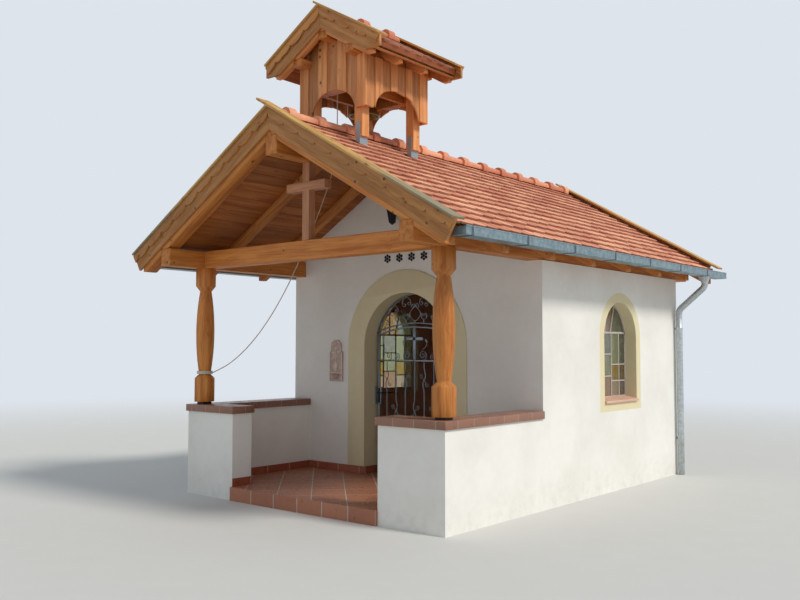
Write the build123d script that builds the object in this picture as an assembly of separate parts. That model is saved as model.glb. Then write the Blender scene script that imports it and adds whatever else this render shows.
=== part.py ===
from build123d import *
import math
import os

# Small chapel with an open porch and a bell turret, in millimetres.
# X is right, Y runs to the back, Z is up; the origin is on the ground, under the
# middle of the outer face of the wall that holds the door.

# masonry
width = 3600
wall = 262
chapel_length = 3369
porch_depth = 1627
return_length = 769
floor_height = 142
step_nosing = 30
wall_height = 2505
parapet_height = 909
coping_thickness = 76
coping_overhang = 22
skirting_height = 85
skirting_thickness = 10

# doorway and gate
door_half = 606
door_spring = 1638
surround_width = 262
surround_thickness = 18
gate_y = 190
gate_depth = 24
gate_bar = 14
gate_frame = 30
gate_gap = 28
gate_left_gap = 37
gate_hinge_inset = 40
gate_above_spring = 122
gate_rise = 105
gate_mid_rail_drop = 398
gate_fan_gap = 14
gate_fan_ring = 22
hinge_heights = [430, 1330]
hinge_pin_radius = 7
hinge_pin_clearance = 0.3
hinge_knuckle_radius = 11.5
hinge_knuckle_height = 50
hinge_arm = 8
hinge_arm_gap = 1
lock_width = 60
lock_height = 200
lock_depth = 34
lock_bottom = 951
keep_thickness = 28
cross_arm_half = 88
cross_arm_drop = 144

# windows in the side walls
window_middle = 1746
window_half = 409
window_spring = 1734
window_bottom = 994
glass_thickness = 24
glass_recess = 138
sill_thickness = 26
sill_fall = 34
sill_nosing = 28

# porch timber
post_block = 210
post_offset = 110
post_shoe_height = 27
post_shoe_width = 112
post_base_height = 262
post_shoulder = 42
post_neck = 126
post_belly = 202
post_head_height = 195
post_head_chamfer = 57
purlin_width = 160
purlin_height = 190
purlin_edge = 20
tie_set_back = 51
cross_post_width = 94
cross_post_depth = 100
cross_arm_length = 554
cross_arm_depth = 88
cross_arm_above_tie = 507

# roof
pitch = 30.33
roof_overhang = 460
eaves_overhang = 320
rafter_width = 100
rafter_seat = 122.6
rafter_depth = 94
rafter_end_gap = 10
rafter_tail_height = 68
front_rafter_width = 152
first_rafter_offset = 447
last_rafter_gap = 177
rafter_count = 6
ridge_purlin_drop = 179
board_thickness = 28
batten_height = 55
tile_thickness = 70
tile_overhang = 50
ridge_radius = 80
barge_below_rafter_top = 35
barge_above_tiles = 36
barge_overhang = 122
barge_thickness = 30
rear_barge_inset = 10
barge_strip = 20
barge_strip_depth = 102
cover_thickness = 25
cover_width = 170
cover_overhang = 20
cover_tip = 145

# gutters and downpipes
gutter_width = 156
gutter_depth = 80
gutter_drop = 26
gutter_board_gap = 2
gutter_front_gap = 59
gutter_rear_overhang = 41
gutter_sheet = 3
gutter_back_drop = 22
gutter_tile_gap = 4
gutter_piece_count = 4
bracket_thickness = 4
bracket_width = 28
bracket_from_front = 89
bracket_from_rear = 659
bracket_count = 7
pipe_radius = 40
pipe_wall_gap = 22
pipe_from_rear = 20
pipe_bend = 95
pipe_drop = 130
pipe_swan = 420
funnel_radius = 72
funnel_height = 85
clip_heights = [450, 1850]
clip_height = 30
clip_band = 4

# turret
turret_middle = -695
turret_width = 980
turret_depth = 1020
turret_post = 110
turret_post_half = 400
turret_post_front = 470
turret_post_foot = 141
turret_purlin = 120
turret_purlin_height = 80
turret_plate_rise = 694
turret_plate_beyond_post = 35
turret_beam_drop = 300
turret_beam_height = 120
turret_overhang = 198
turret_purlin_end = 135
turret_ridge_rise = 220
cladding = 24
cladding_batten = 16
cladding_rise = 154
turret_arch_height = 240
turret_front_arch_half = 308
turret_side_arch_half = 356
turret_rafter_width = 60
turret_rafter_count = 4
turret_rafter_rise = 280
turret_rafter_depth = 93
turret_rafter_inset = 40
turret_rafter_trim = 360
turret_board = 28
turret_batten = 44
turret_eaves = 250
turret_tile_overhang = 45
turret_ridge_radius = 80
turret_barge_rise = 35
turret_barge_trim = 330
turret_cover_tip = 70
turret_barge_above_tiles = 32
turret_barge_overhang = 87
shoe_width = 60
shoe_thickness = 6
shoe_height = 150

# bell and its rope
bell_radius = 170
bell_height = 270
bell_lip = 16
bell_wall = 9
bell_pivot_rise = 152
bell_drop = 332
yoke_half = 205
yoke_width = 80
yoke_height = 70
yoke_clearance = 6
gudgeon_radius = 11
gudgeon_clearance = 0.3
gudgeon_length = 54
bearing_width = 50
bearing_depth = 60
bearing_top = 24
bearer_width = 54
crown_height = 26
crown_loop = 26
crown_loop_width = 16
lever_thickness = 12
lever_height = 30
lever_reach = 305
clapper_drop = 100
clapper_pin = 5
clapper_clearance = 0.3
clapper_eye = 12
clapper_rod = 8
clapper_ball = 28
clapper_length = 197
clapper_tail = 20
cheek_gap = 12
cheek_thickness = 8
cheek_width = 30
cheek_height = 34
rope_radius = 6
rope_hole = 16
rope_x = -112
rope_y = -1000
rope_lever_gap = 8
guide_radius = 28
guide_height = 40
hitch_thickness = 24
hitch_height = 34
hitch_gap = 4
rope_route = [
    (-112, -1000, 4480), (-112, -1000, 3670), (-151, -1012, 3535), (-200, -1027, 3385),
    (-255, -1043, 3232), (-317, -1061, 3078), (-382, -1079, 2925), (-451, -1098, 2773),
    (-525, -1119, 2615), (-603, -1141, 2455), (-687, -1164, 2295), (-780, -1190, 2138),
    (-879, -1218, 1985), (-985, -1248, 1841), (-1099, -1280, 1706), (-1219, -1313, 1588),
    (-1347, -1349, 1482), (-1480, -1388, 1397), (-1634, -1440, 1330),
]

# plaque and lantern
plaque_left = -1172
plaque_right = -962
plaque_bottom = 1214
plaque_top = 1711
plaque_thickness = 22
plaque_shoulder = 42
basin_radius = 62
basin_height = 58
basin_rise = 26
lantern_x = -90
lantern_top = 3250
lantern_bottom = 3020
lantern_reach = 118
lantern_radius = 68
lantern_foot_radius = 40
lantern_roof = 60
lantern_arm = 9
lantern_plate = 45
lantern_plate_thickness = 14

# what follows from the sizes above
half = width / 2
inner = half - wall
slope = math.tan(math.radians(pitch))
cosine = math.cos(math.radians(pitch))
sine = math.sin(math.radians(pitch))
front_barge = -porch_depth - roof_overhang
rear_barge = chapel_length + roof_overhang
frame_front = front_barge + barge_thickness + barge_strip
frame_rear = rear_barge - barge_thickness - barge_strip
coping_top = parapet_height + coping_thickness
purlin_top = wall_height + purlin_height
rafter_low = wall_height + rafter_seat + (half - purlin_edge) * slope
rafter_high = rafter_low + rafter_depth
ridge_purlin_bottom = rafter_low - ridge_purlin_drop
board_high = rafter_high + board_thickness
tile_low = board_high + batten_height
tile_high = tile_low + tile_thickness
board_end = half + eaves_overhang
rafter_end = board_end - rafter_end_gap
tile_end = board_end + tile_overhang
barge_low = rafter_high - barge_below_rafter_top
barge_high = tile_high + barge_above_tiles
barge_top_reach = board_end + barge_overhang
gutter_bottom = board_high - board_end * slope - gutter_drop
gutter_front = frame_front + gutter_front_gap
gutter_rear = rear_barge + gutter_rear_overhang
gutter_x = board_end + bracket_thickness + gutter_board_gap
gate_side_top = door_spring + gate_above_spring
gate_middle_top = gate_side_top + gate_rise
gate_mid_rail = gate_middle_top - gate_mid_rail_drop
hinge_x = door_half - gate_hinge_inset
turret_plate_bottom = tile_high + turret_plate_rise
turret_plate_top = turret_plate_bottom + turret_purlin_height
turret_plate_out = turret_post_half + turret_plate_beyond_post
turret_post_bottom = tile_high - turret_post_foot
turret_beam_bottom = turret_plate_bottom - turret_beam_drop
turret_ridge_bottom = turret_plate_bottom + turret_ridge_rise
turret_ridge_top = turret_ridge_bottom + turret_purlin_height
cladding_low = tile_high + cladding_rise
turret_rafter_low = turret_plate_bottom + turret_rafter_rise
turret_rafter_high = turret_rafter_low + turret_rafter_depth
turret_rafter_bottom = turret_rafter_low - turret_rafter_trim
turret_board_top = turret_rafter_high + turret_board
turret_tile_low = turret_board_top + turret_batten
turret_tile_high = turret_tile_low + tile_thickness
turret_board_end = turret_width / 2 + turret_eaves
turret_rafter_end = turret_board_end - turret_rafter_inset
turret_tile_end = turret_board_end + turret_tile_overhang
turret_barge_low = turret_rafter_low + turret_barge_rise
turret_barge_high = turret_tile_high + turret_barge_above_tiles
turret_barge_reach = turret_board_end + turret_barge_overhang
turret_barge_bottom = turret_rafter_low - turret_barge_trim
bell_pivot = turret_beam_bottom + bell_pivot_rise
bell_rim = bell_pivot - bell_drop
clapper_pivot = bell_pivot - clapper_drop
return_end = half - return_length
parapet_middle = -porch_depth + wall / 2
post_x = half - post_offset
first_rafter = -porch_depth + first_rafter_offset
last_rafter = chapel_length - wall - last_rafter_gap
gable_edge = half - purlin_edge
beyond = 1000


def block(x0, x1, y0, y1, z0, z1):
    size = Box(x1 - x0, y1 - y0, z1 - z0, align=(Align.MIN, Align.MIN, Align.MIN))
    return Pos(x0, y0, z0) * size


def across(points, y0, y1):
    # an outline in X and Z, run along Y
    face = make_face(Polyline([(x, y0, z) for x, z in points], close=True))
    return extrude(face, amount=y1 - y0, dir=(0, 1, 0))


def rod(x, y, z0, z1, radius):
    return Pos(x, y, (z0 + z1) / 2) * Cylinder(radius, z1 - z0)


def rod_x(x0, x1, y, z, radius):
    return Pos((x0 + x1) / 2, y, z) * Rot(0, 90, 0) * Cylinder(radius, x1 - x0)


def rod_y(x, y0, y1, z, radius):
    return Pos(x, (y0 + y1) / 2, z) * Rot(90, 0, 0) * Cylinder(radius, y1 - y0)


def other_side(shape):
    return mirror(shape, Plane.YZ)


def both(shape):
    return [shape, other_side(shape)]


def roof_z(level, x):
    return level - abs(x) * slope


def square_end(low, high, reach):
    # how far in the low edge of a board ends when it is cut square to its slope
    return reach - (high - low) * cosine * sine


def slope_slab(low, high, reach, y0, y1):
    low_reach = square_end(low, high, reach)
    outline = [
        (0, low), (low_reach, roof_z(low, low_reach)),
        (reach, roof_z(high, reach)), (0, high),
    ]
    return across(outline, y0, y1)


def save(name, *solids):
    shape = solids[0] if len(solids) == 1 else Compound(children=list(solids))
    export_step(shape, f"parts/{name}.step")


def under_roof(level, reach):
    # everything below one slope plane, used to trim what stands on the roof
    depth = level - reach * slope - width
    outline = [(-reach, roof_z(level, reach)), (0, level), (reach, roof_z(level, reach))]
    outline += [(reach, depth), (-reach, depth)]
    return across(outline, frame_front - beyond, frame_rear + beyond)


def purlins():
    left = -half + purlin_edge
    eaves = block(left, left + purlin_width, frame_front, frame_rear, wall_height, purlin_top)
    ridge_top = ridge_purlin_bottom + purlin_height
    ridge = block(-purlin_width / 2, purlin_width / 2, frame_front, frame_rear,
                  ridge_purlin_bottom, ridge_top)
    return eaves, other_side(eaves), ridge


# Masonry

def floors():
    room = block(-inner, inner, wall, chapel_length - wall, 0, floor_height)
    save("chapel_floor", room)
    back = -porch_depth + wall
    porch = block(-inner, inner, back, 0, 0, floor_height)
    porch += block(-return_end, return_end, -porch_depth - step_nosing, back, 0, floor_height)
    porch += block(-door_half, door_half, 0, wall, 0, floor_height)
    save("porch_floor", porch)


def gable_top(start):
    eaves = roof_z(rafter_high, gable_edge)
    outline = [(-gable_edge, wall_height), (gable_edge, wall_height), (gable_edge, eaves),
               (0, rafter_high), (-gable_edge, eaves)]
    return across(outline, start, start + wall)


def front_wall():
    right = block(door_half, half, 0, wall, 0, door_spring)
    save("front_wall_right", right)
    save("front_wall_left", other_side(right))
    gable = block(-half, half, 0, wall, door_spring, wall_height)
    gable += gable_top(0)
    gable -= rod_y(0, 0, wall, door_spring, door_half)
    for beam in purlins():
        gable -= beam
    save("front_gable", gable)


def rear_wall():
    rear = block(-half, half, chapel_length - wall, chapel_length, 0, wall_height)
    rear += gable_top(chapel_length - wall)
    for beam in purlins():
        rear -= beam
    save("rear_wall", rear)


def window_shape(x0, x1, grow=0):
    reach = window_half + grow
    low = block(x0, x1, window_middle - reach, window_middle + reach,
                window_bottom, window_spring)
    return low + rod_x(x0, x1, window_middle, window_spring, reach)


def side_walls():
    side = block(inner, half, wall, chapel_length - wall, 0, wall_height)
    side -= window_shape(inner, half)
    save("right_wall", side)
    save("left_wall", other_side(side))


def windows():
    outer = half - glass_recess
    back = outer - glass_thickness
    nose = half + sill_nosing
    outline = [(outer, window_bottom + sill_thickness + sill_fall),
               (nose, window_bottom + sill_thickness), (nose, window_bottom),
               (half, window_bottom), (outer, window_bottom)]
    sill = across(outline, window_middle - window_half, window_middle + window_half)
    save("window_sills", *both(sill))
    save("window_glass", *both(window_shape(back, outer)))


def parapets():
    side = block(inner, half, -porch_depth, 0, 0, parapet_height)
    side += block(return_end, inner, -porch_depth, -porch_depth + wall, 0, parapet_height)
    save("right_parapet", side)
    save("left_parapet", other_side(side))
    out = coping_overhang
    cap = block(inner - out, half + out, -porch_depth - out, 0, parapet_height, coping_top)
    cap += block(return_end - out, inner, -porch_depth - out, -porch_depth + wall + out,
                 parapet_height, coping_top)
    save("right_coping", cap)
    save("left_coping", other_side(cap))


def skirtings():
    top = floor_height + skirting_height
    back = -porch_depth + wall
    thin = skirting_thickness
    run = block(inner - thin, inner, back, 0, floor_height, top)
    run += block(return_end, inner, back, back + thin, floor_height, top)
    run += block(return_end - thin, return_end, -porch_depth, back + thin, floor_height, top)
    run += block(door_half, inner, -thin, 0, floor_height, top)
    run += block(door_half - thin, door_half, -thin, wall, floor_height, top)
    save("skirting", *both(run))


def door_surround():
    outer = door_half + surround_width
    low = floor_height + skirting_height
    band = block(-outer, outer, -surround_thickness, 0, low, door_spring)
    band += rod_y(0, -surround_thickness, 0, door_spring, outer)
    band -= block(-door_half, door_half, -surround_thickness, 0, low, door_spring)
    band -= rod_y(0, -surround_thickness, 0, door_spring, door_half)
    save("door_surround", band)


# Porch timber

def post_levels():
    # where the base block ends, the turned shaft starts and ends, and the head starts
    low = coping_top + post_shoe_height + post_base_height
    high = wall_height - post_head_height
    return low, low + post_shoulder, high - post_head_chamfer, high


def octagon(across_flats, z):
    return Pos(0, 0, z) * RegularPolygon(across_flats / 2, 8, major_radius=False, rotation=22.5)


def whole_post():
    low, start, end, high = post_levels()
    neck = post_neck / 2
    lines = [
        Line((0, 0, start), (neck, 0, start)),
        ThreePointArc((neck, 0, start), (post_belly / 2, 0, (start + end) / 2), (neck, 0, end)),
        Line((neck, 0, end), (0, 0, end)),
        Line((0, 0, end), (0, 0, start)),
    ]
    post = revolve(make_face(Wire(lines)), axis=Axis.Z)
    bottom = coping_top + post_shoe_height
    post += extrude(octagon(post_block, bottom), amount=low - bottom)
    post += loft([octagon(post_block, low), octagon(post_neck, start)])
    post += loft([octagon(post_neck, end), octagon(post_block, high)])
    post += extrude(octagon(post_block, high), amount=wall_height - high)
    return Pos(post_x, parapet_middle, 0) * post


def posts():
    post = whole_post()
    save("right_post", post)
    save("left_post", other_side(post))


def tie_beam():
    front = -porch_depth + tie_set_back
    end = half - purlin_edge - purlin_width
    return block(-end, end, front, front + purlin_width, wall_height, purlin_top)


def tie_and_cross():
    front = -porch_depth + tie_set_back
    save("tie_beam", tie_beam())
    post = block(-cross_post_width / 2, cross_post_width / 2, front, front + cross_post_depth,
                 purlin_top, ridge_purlin_bottom)
    arm_low = purlin_top + cross_arm_above_tie
    post += block(-cross_arm_length / 2, cross_arm_length / 2, front, front + cross_post_depth,
                  arm_low, arm_low + cross_arm_depth)
    save("gable_cross", post)


# Main roof

def rope_bore(z0, z1):
    return rod(rope_x, rope_y, z0, z1, rope_hole)


def rafters():
    tail_level = roof_z(rafter_high, rafter_end) - rafter_tail_height
    tail = (rafter_low - tail_level) / slope
    outline = [
        (0, rafter_low), (tail, tail_level), (rafter_end, tail_level),
        (rafter_end, roof_z(rafter_high, rafter_end)), (0, rafter_high),
    ]
    places = [(frame_front, front_rafter_width), (frame_rear - rafter_width, rafter_width)]
    step = (last_rafter - first_rafter) / (rafter_count - 1)
    for number in range(rafter_count):
        places.append((first_rafter + number * step, rafter_width))
    pairs = []
    for start, thick in places:
        rafter = across(outline, start, start + thick)
        for beam in purlins():
            rafter -= beam
        pairs.append(rafter)
    save("rafters_right", *pairs)
    save("rafters_left", *[other_side(rafter) for rafter in pairs])


def roof_skin():
    boards = slope_slab(rafter_high, board_high, board_end, frame_front, frame_rear)
    tiles = slope_slab(tile_low, tile_high, tile_end, frame_front, frame_rear)
    tiles += slope_slab(board_high, tile_low, board_end, frame_front, frame_rear)
    bore = rope_bore(rafter_low, tile_high)
    save("roof_boards_right", boards)
    save("roof_boards_left", other_side(boards) - bore)
    save("roof_tiles_right", tiles)
    save("roof_tiles_left", other_side(tiles) - bore)
    start = front_barge - cover_overhang + cover_width
    end = rear_barge + cover_overhang - cover_width
    ridge = rod_y(0, start, end, tile_high, ridge_radius)
    ridge -= under_roof(tile_high, 2 * ridge_radius)
    ridge -= rope_bore(tile_low, tile_high + 2 * ridge_radius)
    save("ridge_tiles", ridge)


def chevron(low, high, reach, y0, y1):
    right = slope_slab(low, high, reach, y0, y1)
    return right + other_side(right)


def barge_pair(low, high, reach, front, rear):
    strip_low = high - barge_strip_depth
    inner_front = front + barge_strip
    inner_rear = rear - barge_strip
    fore = chevron(low, high, reach, inner_front, inner_front + barge_thickness)
    fore += chevron(strip_low, high, reach, front, inner_front)
    aft = chevron(low, high, reach, inner_rear - barge_thickness, inner_rear)
    aft += chevron(strip_low, high, reach, inner_rear, rear)
    return fore, aft


def cover_pair(high, reach, front, rear, length):
    top = high + cover_thickness
    pair = []
    for y0 in (front - cover_overhang, rear + cover_overhang - cover_width):
        cover = chevron(high, top, reach, y0, y0 + cover_width)
        tip = [(0, high), (0, top), (-length, top + length * slope),
               (-length, high + length * slope)]
        cover += across(tip, y0, y0 + cover_width)
        pair.append(cover)
    return pair


def verges():
    fore, aft = barge_pair(barge_low, barge_high, barge_top_reach, front_barge, rear_barge)
    reach = board_end - rear_barge_inset
    keep = block(-reach, reach, frame_rear, rear_barge, 0, barge_high)
    save("bargeboards", fore, aft & keep)
    save("cover_boards", *cover_pair(barge_high, barge_top_reach, front_barge, rear_barge,
                                     cover_tip))


# Gutters

def gutters():
    x0 = gutter_x
    x1 = x0 + gutter_width
    top = gutter_bottom + gutter_depth
    thin = gutter_sheet
    trough = block(x0, x1, gutter_front, gutter_rear, gutter_bottom, top)
    trough -= block(x0 + thin, x1 - thin, gutter_front + thin, gutter_rear - thin,
                    gutter_bottom + thin, top)
    trough -= block(x0, tile_end + gutter_tile_gap, gutter_front, gutter_rear,
                    top - gutter_back_drop, top)
    share = (gutter_rear - gutter_front) / gutter_piece_count
    lengths = []
    for number in range(gutter_piece_count):
        start = gutter_front + number * share
        lengths.append(trough & block(x0, x1, start, start + share, gutter_bottom, top))
    save("right_gutter", *lengths)
    save("left_gutter", *[other_side(length) for length in lengths])
    straps = []
    first = gutter_front + bracket_from_front
    step = (gutter_rear - bracket_from_rear - first) / (bracket_count - 1)
    for number in range(bracket_count):
        y0 = first + number * step - bracket_width / 2
        y1 = y0 + bracket_width
        low = gutter_bottom - bracket_thickness
        strap = block(board_end, x1 + bracket_thickness, y0, y1, low, gutter_bottom)
        strap += block(board_end, x0, y0, y1, low, roof_z(board_high, board_end))
        strap += block(x1, x1 + bracket_thickness, y0, y1, low, top)
        straps += both(strap)
    save("gutter_brackets", *straps)


def downpipes():
    x_gutter = gutter_x + gutter_width / 2
    x_wall = half + pipe_wall_gap + pipe_radius
    y = chapel_length - pipe_from_rear - pipe_radius
    route = [(x_gutter, y, gutter_bottom - funnel_height), (x_gutter, y, gutter_bottom - pipe_drop),
             (x_wall, y, gutter_bottom - pipe_swan), (x_wall, y, 0)]
    radii = []
    for number in (1, 2):
        before = Vector(*route[number]) - Vector(*route[number - 1])
        after = Vector(*route[number + 1]) - Vector(*route[number])
        half_turn = math.radians(before.get_angle(after)) / 2
        room = min(before.length, after.length) * 0.9
        radii.append(min(pipe_bend, room / math.tan(half_turn)))
    path = FilletPolyline(*route, radius=radii)
    pipe = sweep(Plane(route[0], z_dir=(0, 0, -1)) * Circle(pipe_radius), path=path)
    cone = Cone(pipe_radius, funnel_radius, funnel_height)
    pipe += Pos(x_gutter, y, gutter_bottom - funnel_height / 2) * cone
    for height in clip_heights:
        z1 = height + clip_height
        pipe += rod(x_wall, y, height, z1, pipe_radius + clip_band)
        pipe += block(half, x_wall, y - clip_height / 2, y + clip_height / 2, height, z1)
    save("downpipes", *both(pipe))


# Gate

def arc_band(half_width, side_z, middle_z, height, y0, y1):
    # a flat bar bent upwards: its top passes side_z at the ends and middle_z in the middle
    rise = middle_z - side_z
    radius = (half_width ** 2 + rise ** 2) / (2 * rise)
    centre = middle_z - radius
    ring = rod_y(0, y0, y1, centre, radius) - rod_y(0, y0, y1, centre, radius - height)
    return ring & block(-half_width, half_width, y0, y1, side_z - 2 * height, middle_z)


def top_of_gate(x):
    rise = gate_middle_top - gate_side_top
    radius = (door_half ** 2 + rise ** 2) / (2 * rise)
    return gate_middle_top - radius + math.sqrt(radius ** 2 - x ** 2)


def gate_leaf():
    y0 = gate_y - gate_depth / 2
    y1 = gate_y + gate_depth / 2
    left = -door_half + gate_left_gap
    right = hinge_x - hinge_knuckle_radius
    bottom = floor_height + gate_gap
    thick = gate_frame
    leaf = arc_band(door_half, gate_side_top, gate_middle_top, thick, y0, y1)
    leaf &= block(left, right, y0, y1, 0, 2 * gate_middle_top)
    leaf += block(left, left + thick, y0, y1, bottom, top_of_gate(left) - thick / 2)
    leaf += block(right - thick, right, y0, y1, bottom, top_of_gate(right) - thick / 2)
    leaf += block(left, right, y0, y1, bottom, bottom + thick)
    leaf += block(left, right, y0, y1, gate_mid_rail - thick / 2, gate_mid_rail + thick / 2)
    slim = gate_bar / 2
    gap = (right - left) / 6
    for number in range(1, 6):
        x = left + number * gap
        top = gate_mid_rail
        if number == 3:
            top = gate_middle_top - thick / 2
        leaf += block(x - slim, x + slim, gate_y - slim, gate_y + slim, bottom, top)
    x = left + 3 * gap
    arm = gate_middle_top - cross_arm_drop
    leaf += block(x - cross_arm_half, x + cross_arm_half, gate_y - slim, gate_y + slim,
                  arm - slim, arm + slim)
    leaf += block(left, left + lock_width, gate_y - lock_depth / 2, gate_y + lock_depth / 2,
                  lock_bottom, lock_bottom + lock_height)
    for height in hinge_heights:
        knuckle = rod(hinge_x, gate_y, height, height + hinge_knuckle_height,
                      hinge_knuckle_radius)
        knuckle += block(right - thick / 2, hinge_x, y0, y1, height,
                         height + hinge_knuckle_height)
        leaf += knuckle
        leaf -= rod(hinge_x, gate_y, height, height + hinge_knuckle_height,
                    hinge_pin_radius + hinge_pin_clearance)
    save("gate_leaf", leaf)


def gate_hinges():
    hooks = []
    for height in hinge_heights:
        low = height - hinge_arm - hinge_arm_gap
        pin = rod(hinge_x, gate_y, low, height + hinge_knuckle_height, hinge_pin_radius)
        pin += block(hinge_x - hinge_pin_radius, door_half, gate_y - hinge_pin_radius,
                     gate_y + hinge_pin_radius, low, low + hinge_arm)
        hooks.append(pin)
    keep = block(-door_half, -door_half + keep_thickness, gate_y - gate_depth,
                 gate_y + gate_depth, lock_bottom, lock_bottom + lock_height)
    save("gate_hinges", *hooks, keep)


def fanlight():
    y0 = gate_y - gate_depth / 2
    y1 = gate_y + gate_depth / 2
    thick = gate_frame
    side = gate_side_top + gate_fan_gap + thick
    middle = gate_middle_top + gate_fan_gap + thick
    arch = rod_y(0, y0, y1, door_spring, door_half)
    hollow = rod_y(0, y0, y1, door_spring, door_half - gate_fan_ring)
    bar = arc_band(door_half, side, middle, thick, y0, y1)
    rise = middle - side
    radius = (door_half ** 2 + rise ** 2) / (2 * rise)
    below = rod_y(0, y0, y1, middle - radius, radius - thick)
    ring = (arch - hollow) & block(-door_half, door_half, y0, y1, side - thick,
                                   door_spring + door_half)
    ring -= below
    light = ring + (bar & arch)
    slim = gate_bar / 2
    reach = door_half - gate_fan_ring / 2
    for angle in (-38, 0, 38):
        spoke = block(-slim, slim, gate_y - slim, gate_y + slim, 0, reach)
        spoke = Pos(0, 0, door_spring) * Rot(0, angle, 0) * spoke
        spoke -= rod_y(0, y0, y1, middle - radius, radius - thick / 2)
        light += spoke
    save("gate_fanlight", light)


# Fittings on the front wall

def lantern():
    x = lantern_x
    y = -lantern_reach
    body_top = lantern_top - lantern_roof
    plate_z = (lantern_top + lantern_bottom) / 2 + lantern_roof
    lamp = loft([
        Pos(x, y, lantern_bottom + lantern_foot_radius / 2)
        * RegularPolygon(lantern_foot_radius, 6),
        Pos(x, y, body_top) * RegularPolygon(lantern_radius, 6),
    ])
    lamp += Pos(x, y, body_top + lantern_roof / 2) * Cone(lantern_radius, 12, lantern_roof)
    lamp += Pos(x, y, lantern_bottom + lantern_foot_radius / 4) * Cone(
        10, lantern_foot_radius * 0.7, lantern_foot_radius / 2)
    lamp += rod_y(x, -lantern_plate_thickness, 0, plate_z, lantern_plate)
    lamp += rod_y(x, y, -lantern_plate_thickness / 2, plate_z + lantern_roof, lantern_arm)
    lamp += rod(x, -lantern_plate_thickness * 1.5, plate_z, plate_z + lantern_roof,
                lantern_arm)
    lamp += rod(x, y, lantern_top - lantern_roof / 2, plate_z + lantern_roof, lantern_arm)
    save("wall_lantern", lamp)


def plaque():
    middle = (plaque_left + plaque_right) / 2
    reach = (plaque_right - plaque_left) / 2
    shoulder = plaque_top - reach * 1.35
    dome = reach - plaque_shoulder / 2
    plate = block(plaque_left, plaque_right, -plaque_thickness, 0, plaque_bottom, shoulder)
    plate += block(middle - dome, middle + dome, -plaque_thickness, 0, shoulder,
                   plaque_top - dome)
    plate += rod_y(middle, -plaque_thickness, 0, plaque_top - dome, dome)
    basin_top = plaque_bottom + basin_rise + basin_height
    bowl = Pos(middle, -plaque_thickness, basin_top - basin_height / 2) * Cone(
        basin_radius * 0.45, basin_radius, basin_height)
    scoop = Pos(middle, -plaque_thickness, basin_top) * Sphere(basin_radius * 0.72)
    front = block(middle - basin_radius, middle + basin_radius, -plaque_thickness
                  - basin_radius, -plaque_thickness, plaque_bottom, basin_top)
    plate += (bowl & front) - scoop
    save("holy_water_plaque", plate)


# Turret

def turret_box():
    return turret_middle - turret_depth / 2, turret_middle + turret_depth / 2


def turret_post_lines():
    near = turret_middle - turret_post_front
    far = turret_middle + turret_post_front
    return (near, near + turret_post), (far - turret_post, far)


def turret_timber():
    rows = turret_post_lines()
    posts_list = []
    shoes = []
    trim = under_roof(tile_high, turret_width)
    for y0, y1 in rows:
        x0 = turret_post_half - turret_post
        x1 = turret_post_half
        post = block(x0, x1, y0, y1, turret_post_bottom, turret_plate_bottom)
        posts_list += both(post)
        x_mid = (x0 + x1) / 2
        shoe = block(x_mid - shoe_width / 2, x_mid + shoe_width / 2, y0 - shoe_thickness, y0,
                     tile_low - turret_post_half * slope, turret_post_bottom + shoe_height)
        shoe += block(x_mid - shoe_width / 2, x_mid + shoe_width / 2, y0, y1,
                      tile_low - turret_post_half * slope, turret_post_bottom)
        shoes += both(shoe - trim)
    save("turret_posts", *posts_list)
    edge = post_shoe_width / 2
    foot = block(-edge, edge, -edge, edge, coping_top, coping_top + post_shoe_height)
    foot = Pos(post_x, parapet_middle, 0) * foot
    save("post_shoes", *both(foot), *shoes)
    turret_beams(rows)


def turret_beams(rows):
    y0, y1 = turret_box()
    near, far = rows
    x1 = turret_plate_out
    x0 = x1 - turret_purlin
    plate_top = turret_plate_top
    plate = block(x0, x1, y0 - turret_purlin_end, y1 + turret_purlin_end,
                  turret_plate_bottom, plate_top)
    frame = plate + other_side(plate)
    reach = turret_post_half - turret_post
    beam_top = turret_beam_bottom + turret_beam_height
    for low, high in (near, far):
        frame += block(-x0, x0, low, high, turret_plate_bottom, plate_top)
        frame += block(-reach, reach, low, high, turret_beam_bottom, beam_top)
        frame += block(-turret_post / 2, turret_post / 2, low, high,
                       plate_top, turret_ridge_bottom)
        frame += block(-turret_post / 2, turret_post / 2, low, high,
                       beam_top, turret_plate_bottom)
    frame += block(-turret_purlin / 2, turret_purlin / 2, y0 - turret_purlin_end,
                   y1 + turret_purlin_end, turret_ridge_bottom, turret_ridge_top)
    bearer_out = yoke_half + yoke_clearance + gudgeon_length
    bearer_top = bell_pivot - bearing_depth / 2
    bearer = block(bearer_out - bearer_width, bearer_out, near[1], far[0],
                   turret_beam_bottom, bearer_top)
    frame += bearer
    frame += other_side(bearer)
    save("turret_frame", frame)


def turret_rafters():
    y0, y1 = turret_box()
    low = turret_rafter_low
    tail = turret_rafter_end
    x1 = turret_plate_out
    plate = block(x1 - turret_purlin, x1, y0 - turret_overhang, y1 + turret_overhang,
                  turret_plate_bottom, turret_plate_top)
    ridge = block(-turret_purlin / 2, turret_purlin / 2, y0 - turret_overhang,
                  y1 + turret_overhang, turret_ridge_bottom, turret_ridge_top)
    outline = [(0, low), (turret_rafter_trim / slope, turret_rafter_bottom),
               (tail, turret_rafter_bottom), (tail, roof_z(turret_rafter_high, tail)),
               (0, turret_rafter_high)]
    front = y0 - turret_overhang + barge_strip + barge_thickness
    rear = y1 + turret_overhang - barge_strip - barge_thickness
    step = (rear - front - turret_rafter_width) / (turret_rafter_count - 1)
    rafters_list = []
    for number in range(turret_rafter_count):
        start = front + number * step
        rafter = across(outline, start, start + turret_rafter_width) - plate - ridge
        rafters_list.append(rafter + other_side(rafter))
    save("turret_rafters", *rafters_list)


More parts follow.
